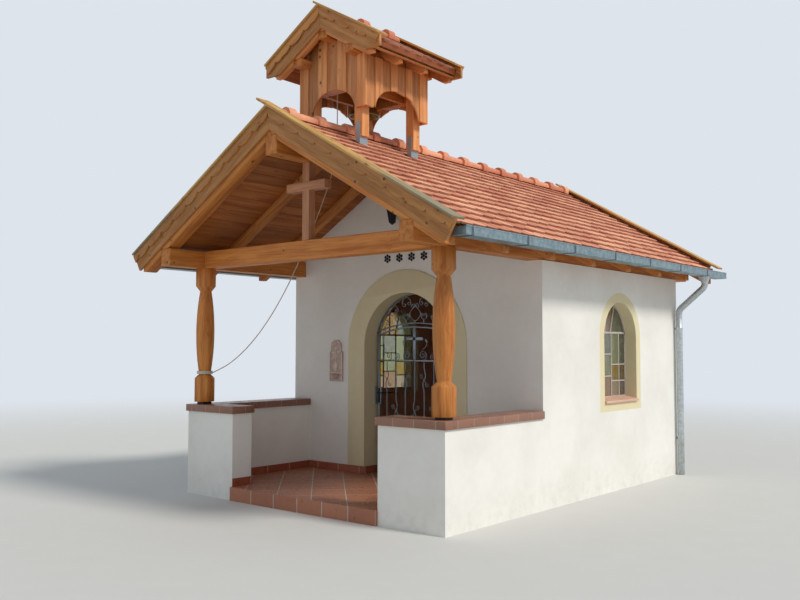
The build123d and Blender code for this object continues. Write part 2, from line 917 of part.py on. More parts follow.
def turret_cladding():
    y0, y1 = turret_box()
    edge = turret_width / 2
    thick = cladding + cladding_batten
    x1 = turret_plate_out
    plates = block(-x1, -x1 + turret_purlin, y0 - turret_overhang, y1 + turret_overhang,
                   turret_plate_bottom, turret_plate_top)
    plates += other_side(plates)
    plates += block(-turret_purlin / 2, turret_purlin / 2, y0 - turret_overhang,
                    y1 + turret_overhang, turret_ridge_bottom, turret_ridge_top)
    arch_high = turret_arch_height
    gable = [(-edge, cladding_low), (edge, cladding_low), (edge, roof_z(turret_rafter_high, edge)),
             (0, turret_rafter_high), (-edge, roof_z(turret_rafter_high, edge))]
    arch = Ellipse(turret_front_arch_half, arch_high)
    for name, start in (("front", y0), ("rear", y1 - thick)):
        hole = Pos(0, start, cladding_low) * Rot(90, 0, 0) * extrude(arch, amount=thick, both=True)
        face = across(gable, start, start + thick) - hole - plates
        save("turret_cladding_" + name, face)
    arch = Ellipse(arch_high, turret_side_arch_half)
    hole = Pos(edge - thick, turret_middle, cladding_low) * Rot(0, 90, 0)
    hole = hole * extrude(arch, amount=2 * thick, both=True)
    side_top = roof_z(turret_rafter_low, edge)
    side = block(edge - thick, edge, y0 + thick, y1 - thick, cladding_low, side_top) - hole
    save("turret_cladding_right", side)
    save("turret_cladding_left", other_side(side))


def turret_roof():
    y0, y1 = turret_box()
    front = y0 - turret_overhang
    rear = y1 + turret_overhang
    inside = front + barge_strip + barge_thickness
    inside_rear = rear - barge_strip - barge_thickness
    save("turret_boards", chevron(turret_rafter_high, turret_board_top, turret_board_end,
                                  inside, inside_rear))
    tiles = chevron(turret_tile_low, turret_tile_high, turret_tile_end, inside, inside_rear)
    tiles += chevron(turret_board_top, turret_tile_low, turret_board_end, inside, inside_rear)
    save("turret_tiles", tiles)
    start = front - cover_overhang + cover_width
    end = rear + cover_overhang - cover_width
    ridge = rod_y(0, start, end, turret_tile_high, turret_ridge_radius)
    ridge -= under_roof(turret_tile_high, 2 * turret_ridge_radius)
    save("turret_ridge_tiles", ridge)
    reach = turret_barge_reach
    keep = block(-reach, reach, front, rear, turret_barge_bottom, turret_barge_high)
    fore, aft = barge_pair(turret_barge_low, turret_barge_high, reach, front, rear)
    save("turret_bargeboards", fore & keep, aft & keep)
    save("turret_cover_boards", *cover_pair(turret_barge_high, reach, front, rear,
                                            turret_cover_tip))


# Bell

def bell_shape():
    top = bell_rim + bell_height
    r = bell_radius
    shoulder = r * 0.52
    outer = [
        ThreePointArc((r, 0, bell_rim), (r * 0.72, 0, bell_rim + bell_height * 0.32),
                      (shoulder + bell_wall, 0, top - bell_height * 0.16)),
        ThreePointArc((shoulder + bell_wall, 0, top - bell_height * 0.16),
                      (shoulder * 0.78, 0, top - bell_height * 0.03), (shoulder * 0.4, 0, top)),
    ]
    inside_top = top - bell_lip
    inner_curve = ThreePointArc(
        (r - bell_lip, 0, bell_rim), (r * 0.72 - bell_wall, 0, bell_rim + bell_height * 0.3),
        (shoulder, 0, inside_top - bell_height * 0.14))
    lines = outer + [
        Line((shoulder * 0.4, 0, top), (0, 0, top)),
        Line((0, 0, top), (0, 0, inside_top)),
        Line((0, 0, inside_top), (shoulder * 0.5, 0, inside_top)),
        Line((shoulder * 0.5, 0, inside_top), (shoulder, 0, inside_top - bell_height * 0.14)),
        inner_curve,
        Line((r - bell_lip, 0, bell_rim), (r, 0, bell_rim)),
    ]
    return revolve(make_face(Wire(lines)), axis=Axis.Z)


def bell_parts():
    y = turret_middle
    top = bell_rim + bell_height
    shape = bell_shape()
    cheek_top = top - bell_lip / 2
    low = clapper_pivot - cheek_height / 2
    for x0 in (-cheek_gap - cheek_thickness, cheek_gap):
        shape += block(x0, x0 + cheek_thickness, -cheek_width / 2, cheek_width / 2,
                       low, cheek_top)
    pin = rod_x(-cheek_gap - cheek_thickness, cheek_gap + cheek_thickness, 0,
                clapper_pivot, clapper_pin)
    shape += pin
    save("bell", Pos(0, y, 0) * shape)

    ball_z = clapper_pivot - clapper_length
    swing = rod(0, 0, ball_z, clapper_pivot, clapper_rod)
    swing += Pos(0, 0, ball_z) * Sphere(clapper_ball)
    swing += rod(0, 0, ball_z - clapper_ball - clapper_tail, ball_z, clapper_rod)
    eye = clapper_eye
    swing += rod_x(-cheek_gap + 2, cheek_gap - 2, 0, clapper_pivot, eye)
    swing -= rod_x(-cheek_gap, cheek_gap, 0, clapper_pivot, clapper_pin + clapper_clearance)
    save("clapper", Pos(0, y, 0) * swing)

    yoke_low = top + crown_height
    yoke = block(-yoke_half, yoke_half, -yoke_width / 2, yoke_width / 2, yoke_low,
                 yoke_low + yoke_height)
    side = crown_loop_width
    for x0 in (-crown_loop, crown_loop - side):
        yoke += block(x0, x0 + side, -side * 0.75, side * 0.75, top, yoke_low)
    gudgeon_end = yoke_half + yoke_clearance + gudgeon_length
    for sign in (-1, 1):
        x0, x1 = sorted((sign * yoke_half, sign * gudgeon_end))
        yoke += rod_x(x0, x1, 0, bell_pivot, gudgeon_radius)
    side = rope_x + rope_radius + rope_lever_gap
    yoke += block(side, side + lever_thickness, -lever_reach - 15, 0, bell_pivot - lever_height / 2,
                  bell_pivot + lever_height / 2)
    save("bell_yoke", Pos(0, y, 0) * yoke)


def bearings():
    outer = yoke_half + yoke_clearance + gudgeon_length
    x0 = outer - bearing_width
    low = bell_pivot - bearing_depth / 2
    y = turret_middle
    bearing = block(x0, outer, y - bearing_depth / 2, y + bearing_depth / 2, low,
                    bell_pivot + bearing_top)
    bearing -= rod_x(x0, outer, y, bell_pivot, gudgeon_radius + gudgeon_clearance)
    save("bell_bearings", *both(bearing))


def rope():
    runs = [Vector(*b) - Vector(*a) for a, b in zip(rope_route, rope_route[1:])]
    radii = []
    for before, after in zip(runs, runs[1:]):
        half_turn = math.radians(before.get_angle(after)) / 2
        shorter = min(before.length, after.length)
        radii.append(0.45 * shorter / math.tan(half_turn))
    print("rope radii", [round(radius) for radius in radii])
    path = FilletPolyline(*rope_route, radius=radii)
    start = Plane(rope_route[0], z_dir=runs[0])
    tube = sweep(start * Circle(rope_radius), path=path)
    section = math.pi * rope_radius ** 2
    print("rope length", round(path.length), "volume", round(tube.volume),
          "section times length", round(section * path.length))
    save("bell_rope", tube)


def rope_fittings():
    hitch_z = post_levels()[1] + hitch_gap
    ring = rod(0, 0, hitch_z, hitch_z + hitch_height, post_neck / 2 + hitch_thickness)
    save("rope_hitch", Pos(-post_x, parapet_middle, 0) * ring - other_side(whole_post()))
    top = roof_z(rafter_high, rope_x)
    bush = rod(rope_x, rope_y, top - guide_height, top + guide_height, guide_radius)
    bush -= rope_bore(0, tile_high)
    bush &= under_roof(rafter_high, half)
    save("rope_guide", bush)


def main():
    os.makedirs("parts", exist_ok=True)
    floors()
    front_wall()
    rear_wall()
    side_walls()
    windows()
    parapets()
    skirtings()
    door_surround()
    posts()
    tie_and_cross()
    save("roof_purlins", *purlins())
    rafters()
    roof_skin()
    verges()
    gutters()
    downpipes()
    gate_leaf()
    gate_hinges()
    fanlight()
    lantern()
    plaque()
    turret_timber()
    turret_rafters()
    turret_cladding()
    turret_roof()
    bell_parts()
    bearings()
    rope()
    rope_fittings()


main()
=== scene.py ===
import bpy
import bmesh
import math
import random
from mathutils import Matrix, Vector


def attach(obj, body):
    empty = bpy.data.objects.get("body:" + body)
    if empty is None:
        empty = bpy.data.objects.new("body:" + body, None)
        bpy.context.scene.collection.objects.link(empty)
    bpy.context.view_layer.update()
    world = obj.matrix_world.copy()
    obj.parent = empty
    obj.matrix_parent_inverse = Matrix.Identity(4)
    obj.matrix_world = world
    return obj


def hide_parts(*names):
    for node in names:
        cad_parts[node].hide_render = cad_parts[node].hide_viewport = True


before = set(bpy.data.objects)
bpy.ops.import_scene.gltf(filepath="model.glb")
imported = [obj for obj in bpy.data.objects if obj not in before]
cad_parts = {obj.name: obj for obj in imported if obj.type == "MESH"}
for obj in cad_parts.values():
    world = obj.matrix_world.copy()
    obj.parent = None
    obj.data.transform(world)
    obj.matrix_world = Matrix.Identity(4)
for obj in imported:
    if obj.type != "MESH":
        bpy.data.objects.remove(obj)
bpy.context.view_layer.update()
print("frame loaded:", len(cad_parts), "nodes")

pitch = math.radians(30.33)
slope, cosine, sine = math.tan(pitch), math.cos(pitch), math.sin(pitch)
chapel = {"doorHalf": 0.606, "doorSpring": 1.638, "windowY": 1.746, "windowHalf": 0.409,
          "windowSpring": 1.734, "windowBottom": 0.994}


# camera and light

photo = {"lens": 39.17, "sensor": 36, "far": 200, "place": (6.3307, -7.6265, 1.6121),
         "angles": (93.165, -0.06, 40.007)}


def linked(name, data):
    item = bpy.data.objects.new(name, data)
    bpy.context.scene.collection.objects.link(item)
    return item


def addCamera():
    data = bpy.data.cameras.new("photoCamera")
    data.lens, data.sensor_width, data.clip_end = photo["lens"], photo["sensor"], photo["far"]
    camera = linked("photoCamera", data)
    camera.location = photo["place"]
    camera.rotation_euler = [math.radians(angle) for angle in photo["angles"]]
    bpy.context.scene.camera = camera


def addLamp(name, kind, place, target, **settings):
    data = bpy.data.lights.new(name, kind)
    for key, value in settings.items():
        setattr(data, key, value)
    lamp = linked(name, data)
    lamp.location = place
    lamp.rotation_euler = (Vector(target) - Vector(place)).to_track_quat("-Z", "Y").to_euler()


# small helpers for shader nodes

class Flow:
    # an output socket that can be reckoned with like a number

    def __init__(self, socket):
        self.socket, self.tree = socket, socket.id_data

    def __add__(self, other):
        return calc("ADD", self, other)

    def __sub__(self, other):
        return calc("SUBTRACT", self, other)

    def __rsub__(self, other):
        return calc("SUBTRACT", other, self)

    def __mul__(self, other):
        return calc("MULTIPLY", self, other)

    def __truediv__(self, other):
        return calc("DIVIDE", self, other)

    def __pow__(self, other):
        return calc("POWER", self, other)

    def __gt__(self, other):
        return calc("GREATER_THAN", self, other)

    def __lt__(self, other):
        return calc("LESS_THAN", self, other)

    def __abs__(self):
        return calc("ABSOLUTE", self)


def tone(*levels):
    # a colour from its three levels of 0 to 255
    parts = [level / 255 for level in levels]
    return (*(part / 12.92 if part <= 0.04045 else ((part + 0.055) / 1.055) ** 2.4
              for part in parts), 1.0)


def feed(socket, value):
    if isinstance(value, Flow):
        value.tree.links.new(value.socket, socket)
    elif value is not None:
        socket.default_value = value


def addNode(tree, kind, entries=(), **settings):
    # entries are pairs of an input, by label or number, and what goes into it
    node = tree.nodes.new("ShaderNode" + kind)
    for key, value in settings.items():
        setattr(node, key, value)
    for key, value in entries:
        feed(node.inputs[key], value)
    return node


def flowOf(kind, *values, **settings):
    # a node whose inputs are fed in their order, in the tree of the first flow among them
    tree = next(value.tree for value in values if isinstance(value, Flow))
    return Flow(addNode(tree, kind, enumerate(values), **settings).outputs[0])


def calc(operation, *values):
    return flowOf("Math", *values, operation=operation)


def between(value, low, high):
    # 1 inside the two limits, 0 outside
    return (value > low) * (value < high)


def fade(value, start, end, low=0.0, high=1.0):
    return flowOf("MapRange", value, start, end, low, high, interpolation_type="SMOOTHSTEP")


def blend(factor, first, second):
    node = addNode(factor.tree, "Mix", ((0, factor), (6, first), (7, second)), data_type="RGBA")
    return Flow(node.outputs[2])


def brightened(color, value):
    node = addNode(value.tree, "HueSaturation", (("Value", value), ("Color", color)))
    return Flow(node.outputs[0])


def noise(vector, scale, detail=3.0, rough=0.55):
    entries = ("Vector", vector), ("Scale", scale), ("Detail", detail), ("Roughness", rough)
    return Flow(addNode(vector.tree, "TexNoise", entries).outputs[0])


def stretched(vector, factors):
    return flowOf("VectorMath", vector, factors, operation="MULTIPLY")


def splitVector(vector):
    node = addNode(vector.tree, "SeparateXYZ", ((0, vector),))
    return [Flow(socket) for socket in node.outputs]


def joinVector(*parts):
    return flowOf("CombineXYZ", *parts)


def attribute(tree, name, output="Fac"):
    return Flow(addNode(tree, "Attribute", attribute_name=name).outputs[output])


def facing(tree):
    # 1 on the faces that look along X, Y and Z
    normal = Flow(addNode(tree, "NewGeometry").outputs["Normal"])
    return [abs(part) > 0.6 for part in splitVector(normal)]


def startMaterial(name, **plain):
    material = bpy.data.materials.new(name)
    material.use_nodes = True
    tree = material.node_tree
    for label, value in plain.items():
        tree.nodes["Principled BSDF"].inputs[label.replace("_", " ")].default_value = value
    return material, Flow(addNode(tree, "TexCoord").outputs["Object"])


def dress(material, color, rough=None, height=None, strength=0.0, distance=0.001):
    tree = material.node_tree
    shader = tree.nodes["Principled BSDF"]
    feed(shader.inputs["Base Color"], color)
    feed(shader.inputs["Roughness"], rough)
    if height is not None:
        entries = ("Strength", strength), ("Distance", distance), ("Height", height)
        feed(shader.inputs["Normal"], Flow(addNode(tree, "Bump", entries).outputs["Normal"]))
    return material


def startGroup(name, entries, exits):
    # what kind of socket an entry is follows from its first value
    group = bpy.data.node_groups.new(name, "ShaderNodeTree")
    kinds = {type(None): "NodeSocketVector", float: "NodeSocketFloat", tuple: "NodeSocketColor"}
    for label, value in entries.items():
        socket = group.interface.new_socket(name=label, in_out="INPUT",
                                            socket_type=kinds[type(value)])
        if value is not None:
            socket.default_value = value
    for label in exits:
        group.interface.new_socket(name=label, in_out="OUTPUT",
                                   socket_type=kinds[tuple if label == "Color" else float])
    return group, {socket.name: Flow(socket)
                   for socket in group.nodes.new("NodeGroupInput").outputs}


def closeGroup(group, **values):
    leave = group.nodes.new("NodeGroupOutput")
    for label, value in values.items():
        feed(leave.inputs[label], value)
    return group


def useGroup(group, tree, **values):
    node = addNode(tree, "Group", values.items(), node_tree=group)
    return {socket.name: Flow(socket) for socket in node.outputs}


# timber

def makeGrainGroup():
    group, entry = startGroup(
        "timberGrain",
        {"Vector": None, "Shade": 0.0, "Light": tone(214, 150, 84), "Dark": tone(160, 92, 42),
         "Knots": 1.0}, ("Color", "Roughness", "Height"))
    move = entry["Shade"] * 11.0
    spot = flowOf("VectorMath", entry["Vector"], joinVector(move, move, move))
    cells = addNode(group, "TexVoronoi", (("Vector", spot), ("Scale", 5.6)))
    near = Flow(cells.outputs["Distance"])
    knot = fade(near, 0.12, 0.05) * entry["Knots"]
    push = fade(near, 0.34, 0.05) * 0.018
    x, y, z = splitVector(spot)
    bent = joinVector(x, y + push, z + push)
    streak = noise(stretched(bent, (1.3, 19.0, 19.0)), 1.0, 5.0, 0.6)
    fine = noise(stretched(bent, (5.0, 150.0, 150.0)), 1.0, 2.0, 0.5)
    broad = noise(stretched(spot, (0.7, 3.0, 3.0)), 1.0, 2.0, 0.5)
    mix = fine * 0.35 + streak * 0.8
    color = blend(fade(mix, 0.38, 0.78), entry["Dark"], entry["Light"])
    color = brightened(color, entry["Shade"] * 0.16 + (broad * 0.24 + 0.88))
    return closeGroup(group, Color=blend(knot * 0.85, color, tone(78, 40, 18)),
                      Roughness=fade(streak, 0.3, 0.7, 0.62, 0.46), Height=mix - knot * 0.3)


def grained(place, direction, light, dark, knots):
    # the grain runs along X, Y, Z or down the roof
    x, y, z = splitVector(place)
    if direction == "slope":
        side = abs(x)
        vector = joinVector(side * cosine - z * sine, y, side * sine + z * cosine)
    else:
        vector = joinVector(*{"x": (x, y, z), "y": (y, x, z), "z": (z, x, y)}[direction])
    return vector, useGroup(grainGroup, place.tree, Vector=vector, Light=light, Dark=dark,
                            Shade=attribute(place.tree, "shade"), Knots=knots)


timberTones = {
    "oiled": (tone(212, 138, 62), tone(168, 94, 38), 1.0),
    "pale": (tone(206, 150, 112), tone(172, 116, 82), 0.5),
    # the boarding tone is the wood's own colour darkened further with painted shade, for the
    # soffit boards under the eaves
    "boarding": (tone(172, 102, 44), tone(134, 74, 30), 0.5),
    "weathered": (tone(208, 146, 80), tone(166, 106, 52), 1.0),
    "cladding": (tone(232, 164, 104), tone(196, 124, 68), 1.0),
    "fascia": (tone(178, 104, 62), tone(140, 76, 42), 0.4),
}
timberMade = {}


def timber(kind, direction):
    key = kind + direction.upper()
    if key not in timberMade:
        material, place = startMaterial(key, IOR=1.45)
        grain = grained(place, direction, *timberTones[kind])[1]
        timberMade[key] = dress(material, grain["Color"], grain["Roughness"], grain["Height"],
                                0.35, 0.003)
    return timberMade[key]


def coverMaterial():
    # yellow wood on top near the ridge, silver grey where the weather gets at it
    material, place = startMaterial("coverBoardWood", IOR=1.45)
    vector, grain = grained(place, "slope", tone(226, 184, 112), tone(178, 128, 66), 0.6)
    down, across = splitVector(vector)[:2]
    patch = noise(stretched(vector, (1.6, 9.0, 9.0)), 1.0)
    aged = (patch * 1.6 + down * 0.75) * fade(across, -0.4, -1.0)
    grey = blend(grain["Roughness"], tone(150, 146, 122), tone(112, 110, 92))
    color = blend(fade(aged, 0.2, 1.0, 0.0, 0.85), grain["Color"], grey)
    return dress(material, color, fade(patch, 0.3, 0.7, 0.6, 0.8), grain["Height"], 0.5, 0.003)


# masonry

def makeSpeckGroup():
    group, entry = startGroup(
        "fineSpeck", {"Vector": None, "Color": (1, 1, 1, 1), "Grain": 140.0, "Strength": 0.1},
        ("Color", "Height"))
    entries = (0, entry["Vector"]), ("Scale", entry["Grain"])
    spot = Flow(addNode(group, "VectorMath", entries, operation="SCALE").outputs[0])
    both = noise(spot, 1.0, 3.0, 0.65) * 0.5 + noise(spot, 0.06, 3.0, 0.5) * 0.5
    change = (both - 0.5) * entry["Strength"]
    return closeGroup(group, Color=brightened(entry["Color"], change * 3.0 + 1.0), Height=both)


def speckled(place, color, grain, strength):
    speck = useGroup(speckGroup, place.tree, Vector=place, Color=color, Grain=grain,
                     Strength=strength)
    return speck["Color"], speck["Height"]


# where the paint changes on the walls: arch radii, sides, heights and depths
render = {"doorRadius": 0.6075, "doorDepth": (-0.01, 0.27), "bandRadius": 0.52,
          "bandSide": 1.799, "revealRadius": 0.4105, "revealSide": 1.54, "sill": 0.9,
          "roomSide": 1.5385, "roomDepth": (0.2615, 3.1075)}


def renderMaterial():
    material, place = startMaterial("limeRender", Roughness=0.92)
    x, y, z = splitVector(place)
    side = abs(x)

    def fromArch(across, spring):
        lift = calc("MAXIMUM", z - spring, 0.0)
        return calc("SQRT", across ** 2.0 + lift ** 2.0)

    inDoor = (fromArch(side, chapel["doorSpring"]) < render["doorRadius"]) * between(
        y, *render["doorDepth"])
    away = fromArch(y - chapel["windowY"], chapel["windowSpring"])
    band = (away < render["bandRadius"]) * (side > render["bandSide"])
    reveal = (away < render["revealRadius"]) * (side > render["revealSide"])
    atWindow = calc("MAXIMUM", band, reveal) * (z > render["sill"])
    inside = (side < render["roomSide"]) * between(y, *render["roomDepth"])
    stain = fade(z, 0.5, 0.02) * fade(noise(place, 9.0, 5.0, 0.65), 0.42, 0.7)
    color = blend(fade(noise(place, 1.1, 4.0, 0.5), 0.35, 0.65), tone(233, 230, 222),
                  tone(242, 240, 233))
    color = blend(calc("MAXIMUM", inDoor, atWindow), color, tone(228, 216, 178))
    color = blend(inside, color, tone(222, 174, 148))
    color = blend(stain * 0.16, color, tone(178, 170, 156))
    color, height = speckled(place, color, 220.0, 0.05)
    return dress(material, color, None, noise(place, 7.0, 2.0, 0.5) * 2.2 + height, 0.35, 0.003)


def creamMaterial():
    material, place = startMaterial("creamPaint", Roughness=0.85)
    color = blend(noise(place, 2.5, 4.0), tone(220, 208, 170), tone(230, 219, 182))
    color, height = speckled(place, color, 200.0, 0.05)
    return dress(material, color, None, height, 0.3, 0.002)


def makeJointGroup():
    # a grid of joints in two directions, with a number for each tile
    group, entry = startGroup(
        "tileJoints", {"Across": 0.0, "Along": 0.0, "Pitch": 0.344, "Width": 0.01},
        ("Joint", "Tile"))
    edges, numbers = [], []
    for label in ("Across", "Along"):
        count = entry[label] / entry["Pitch"]
        numbers.append(calc("FLOOR", count))
        rim = 0.5 - abs(calc("FRACT", count) - 0.5)
        edges.append(rim * entry["Pitch"])
    cell = addNode(group, "TexWhiteNoise", noise_dimensions="2D")
    feed(cell.inputs["Vector"], joinVector(*numbers, 0.0))
    return closeGroup(group, Joint=calc("MINIMUM", *edges) < entry["Width"] * 0.5,
                      Tile=Flow(cell.outputs["Value"]))


def terracottaMaterial(name, pitchLength, width, diagonal, first, second, joint):
    material, place = startMaterial(name)
    x, y = splitVector(place)[:2]
    if diagonal:
        spots = ((x + y) * math.sqrt(0.5), (x - y) * math.sqrt(0.5))
    else:
        spots = (x + 0.08, y + 0.05)
    half = pitchLength / 2
    sideFace, frontFace, topFace = facing(place.tree)
    lines, number = 0.0, 0.0
    for across, along, face in ((*spots, topFace), (x, half, frontFace), (y, half, sideFace)):
        grid = useGroup(jointGroup, place.tree, Across=across, Along=along, Pitch=pitchLength,
                        Width=width)
        lines = calc("MAXIMUM", grid["Joint"] * face, lines)
        number = grid["Tile"] * face + number
    cloud = noise(place, 14.0, 4.0, 0.6)
    color = blend(lines, blend(cloud * 0.7 + number * 0.5, first, second), joint)
    color, height = speckled(place, color, 260.0, 0.12)
    return dress(material, color, fade(cloud, 0.3, 0.7, 0.26, 0.5), height * 0.4 - lines, 0.5,
                 0.003)


def roofClayMaterial(name, edges):
    # edges says how much painted shade darkens the cut sides and tails of the flat tiles
    material, place = startMaterial(name)
    cloud = noise(place, 22.0, 4.0, 0.65)
    mixed = cloud * 0.5 + (attribute(place.tree, "shade") * 0.34 + 0.25)
    color = blend(fade(mixed, 0.2, 0.85), tone(204, 126, 94), tone(242, 174, 136))
    dust = fade(noise(place, 6.0, 5.0, 0.7), 0.52, 0.78, 0.0, 0.35)
    color = blend(dust, color, tone(190, 150, 128))
    # painted shade: tile faces that look along X or Y are darkened towards dark brown-red, for the
    # shadows under the tails
    cut = calc("MAXIMUM", *facing(place.tree)[:2]) * edges
    color, height = speckled(place, blend(cut, color, tone(84, 44, 36)), 300.0, 0.12)
    return dress(material, color, fade(cloud, 0.3, 0.7, 0.66, 0.84), height, 0.4, 0.002)


# metal, glass and the rest

def metalMaterial(name, first, second, metallic, rough, grain):
    material, place = startMaterial(name, Metallic=metallic)
    patch = noise(place, grain, 4.0, 0.6)
    spread = fade(noise(place, grain * 0.2), 0.3, 0.7, rough - 0.08, rough + 0.1)
    return dress(material, blend(fade(patch, 0.35, 0.65), first, second), spread, patch, 0.15)


def footMaterial():
    # the feet of the porch posts are dark, the shoes of the turret posts are bright zinc
    material, place = startMaterial("footIron", Metallic=0.6)
    patch = noise(place, 90.0, 4.0, 0.6)
    dark = blend(patch, tone(44, 34, 32), tone(66, 52, 48))
    bright = blend(patch, tone(138, 148, 154), tone(168, 176, 180))
    color = blend(splitVector(place)[2] > 2.0, dark, bright)
    return dress(material, color, fade(patch, 0.3, 0.7, 0.4, 0.6), patch, 0.15)


def glassMaterial():
    # each pane carries its own colour, slightly uneven as blown glass is
    material, place = startMaterial("leadedPanes", Roughness=0.12, IOR=1.5,
                                    Transmission_Weight=0.8)
    cloud = fade(noise(place, 16.0, 4.0, 0.6), 0.35, 0.7, 0.0, 0.5)
    color = blend(cloud, attribute(place.tree, "paneColor", "Color"), tone(214, 214, 200))
    return dress(material, color, None, noise(place, 38.0), 0.35, 0.003)


def ropeMaterial():
    material, place = startMaterial("bellRopeYarn", Roughness=0.85, Sheen_Weight=0.2)
    yarn = noise(place, 420.0)
    return dress(material, blend(yarn, tone(170, 160, 138), tone(222, 214, 196)), None, yarn, 0.4)


def plaqueMaterial(name, first, second):
    material, place = startMaterial(name)
    cloud = noise(place, 30.0, 4.0)
    color, height = speckled(place, blend(fade(cloud, 0.3, 0.7), first, second), 500.0, 0.15)
    return dress(material, color, fade(cloud, 0.3, 0.7, 0.5, 0.7), height, 0.3)


# mesh helpers

mirrorX = Matrix.Scale(-1, 4, (1, 0, 0))
bothSides = (1, -1)


def bevelled(shape, edges, offset, segments=1):
    bmesh.ops.bevel(shape, geom=edges, offset=offset, offset_type="OFFSET", segments=segments,
                    profile=0.5, affect="EDGES", material=-1, clamp_overlap=True)


def edgesOf(verts):
    return list({edge for vert in verts for edge in vert.link_edges})


def pushed(shape, faces, way):
    # extrudes the faces, and returns the vertices of their far ends
    made = bmesh.ops.extrude_face_region(shape, geom=faces)["geom"]
    far = [item for item in made if isinstance(item, bmesh.types.BMVert)]
    bmesh.ops.translate(shape, vec=way, verts=far)
    return far


def stretchBox(shape, low, high, bevel=0.0, segments=1):
    verts = bmesh.ops.create_cube(shape, size=1)["verts"]
    low, high = Vector(low), Vector(high)
    bmesh.ops.scale(shape, vec=high - low, verts=verts)
    bmesh.ops.translate(shape, vec=(low + high) / 2, verts=verts)
    if bevel:
        bevelled(shape, edgesOf(verts), bevel, segments)


def outlineSolid(shape, points, y0, y1, bevel=0.0):
    # an outline in X and Z with a thickness along Y
    verts = [shape.verts.new((x, y0, z)) for x, z in points]
    verts += pushed(shape, [shape.faces.new(verts)], (0, y1 - y0, 0))
    if bevel:
        bevelled(shape, edgesOf(verts), bevel)


def rod(shape, radius, length, place, segments, turn=None):
    # a round bar that stands up, or is laid down by a turn about an axis
    verts = bmesh.ops.create_cone(shape, cap_ends=True, segments=segments, radius1=radius,
                                  radius2=radius, depth=length)["verts"]
    if turn:
        bmesh.ops.rotate(shape, verts=verts, cent=(0, 0, 0),
                         matrix=Matrix.Rotation(math.pi / 2, 3, turn))
    bmesh.ops.translate(shape, verts=verts, vec=place)


def meshOf(shape, name="shape"):
    mesh = bpy.data.meshes.new(name)
    shape.to_mesh(mesh)
    shape.free()
    return mesh


def meshFrom(build, *values):
    # the mesh that one of the functions above makes in a fresh shape
    shape = bmesh.new()
    build(shape, *values)
    return meshOf(shape)


def stamp(shape, mesh, place=None):
    # adds a copy of a ready mesh, moved by a matrix, and returns how many faces it has
    copy = mesh.copy()
    if place is not None:
        copy.transform(place)
        if place.determinant() < 0:
            copy.flip_normals()
    shape.from_mesh(copy)
    bpy.data.meshes.remove(copy)
    return len(mesh.polygons)


def stamped(mesh, places):
    shape = bmesh.new()
    for place in places:
        stamp(shape, mesh, place)
    return shape


def paintShade(shape, counts, seed, spread=1.0, offsets=None):
    # gives every copy its own shade, in the order in which the copies were added
    chance = random.Random(seed)
    layer = shape.faces.layers.float.new("shade")
    shape.faces.ensure_lookup_table()
    start = 0
    for index, count in enumerate(counts):
        value = chance.uniform(-spread, spread) + (offsets[index] if offsets else 0.0)
        for face in shape.faces[start:start + count]:
            face[layer] = value
        start += count


def finishPiece(name, shape, material, slot, *replaced, body="chapel", smooth=35):
    bmesh.ops.recalc_face_normals(shape, faces=shape.faces)
    piece = linked(name, meshOf(shape, name))
    piece.data.materials.append(material)
    if smooth:
        piece.data.shade_smooth()
        piece.data.set_sharp_from_angle(angle=math.radians(smooth))
    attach(piece, body)
    if replaced:
        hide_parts(*replaced)
    return piece


def nodeShape(node):
    shape = bmesh.new()
    shape.from_mesh(bpy.data.objects[node].data)
    bmesh.ops.remove_doubles(shape, verts=shape.verts, dist=0.00005)
    return shape


def softened(node, name, material, slot, bevel, segments=1, shades=None, body="chapel"):
    # a copy of a CAD node with its sharp edges rounded; with a seed each solid gets a shade
    shape = nodeShape(node)
    bmesh.ops.dissolve_limit(shape, angle_limit=math.radians(1.0), verts=shape.verts,
                             edges=shape.edges)
    sharp = [edge for edge in shape.edges
             if len(edge.link_faces) == 2 and edge.calc_face_angle(0) > math.radians(30)]
    bevelled(shape, sharp, bevel, segments)
    if shades is not None:
        chance = random.Random(shades)
        layer = shape.faces.layers.float.new("shade")
        left = set(shape.faces)
        while left:
            island, fresh = set(), {next(face for face in shape.faces if face in left)}
            while fresh:
                face = fresh.pop()
                island.add(face)
                fresh |= {other for edge in face.edges for other in edge.link_faces} - island
            value = chance.uniform(-0.8, 0.8)
            for face in island:
                face[layer] = value
            left -= island
    finishPiece(name, shape, material, slot, node, body=body)


def onSlope(level, side=1, y=0.0):
    # flat X runs down the slope, Z stands off it, seen from the apex at that level
    place = Matrix.Translation((0, y, level)) @ Matrix.Rotation(pitch, 4, "Y")
    return mirrorX @ place if side < 0 else place


def onCircle(centre, radius, angle):
    return (centre[0] + radius * math.cos(angle), centre[1] + radius * math.sin(angle))


def paint(node, material):
    slots = bpy.data.objects[node].data.materials
    if not slots:
        slots.append(material)
    for index in range(len(slots)):
        slots[index] = material


grainGroup = makeGrainGroup()
speckGroup = makeSpeckGroup()
jointGroup = makeJointGroup()
limeRender = renderMaterial()
creamPaint = creamMaterial()
coverWood = coverMaterial()
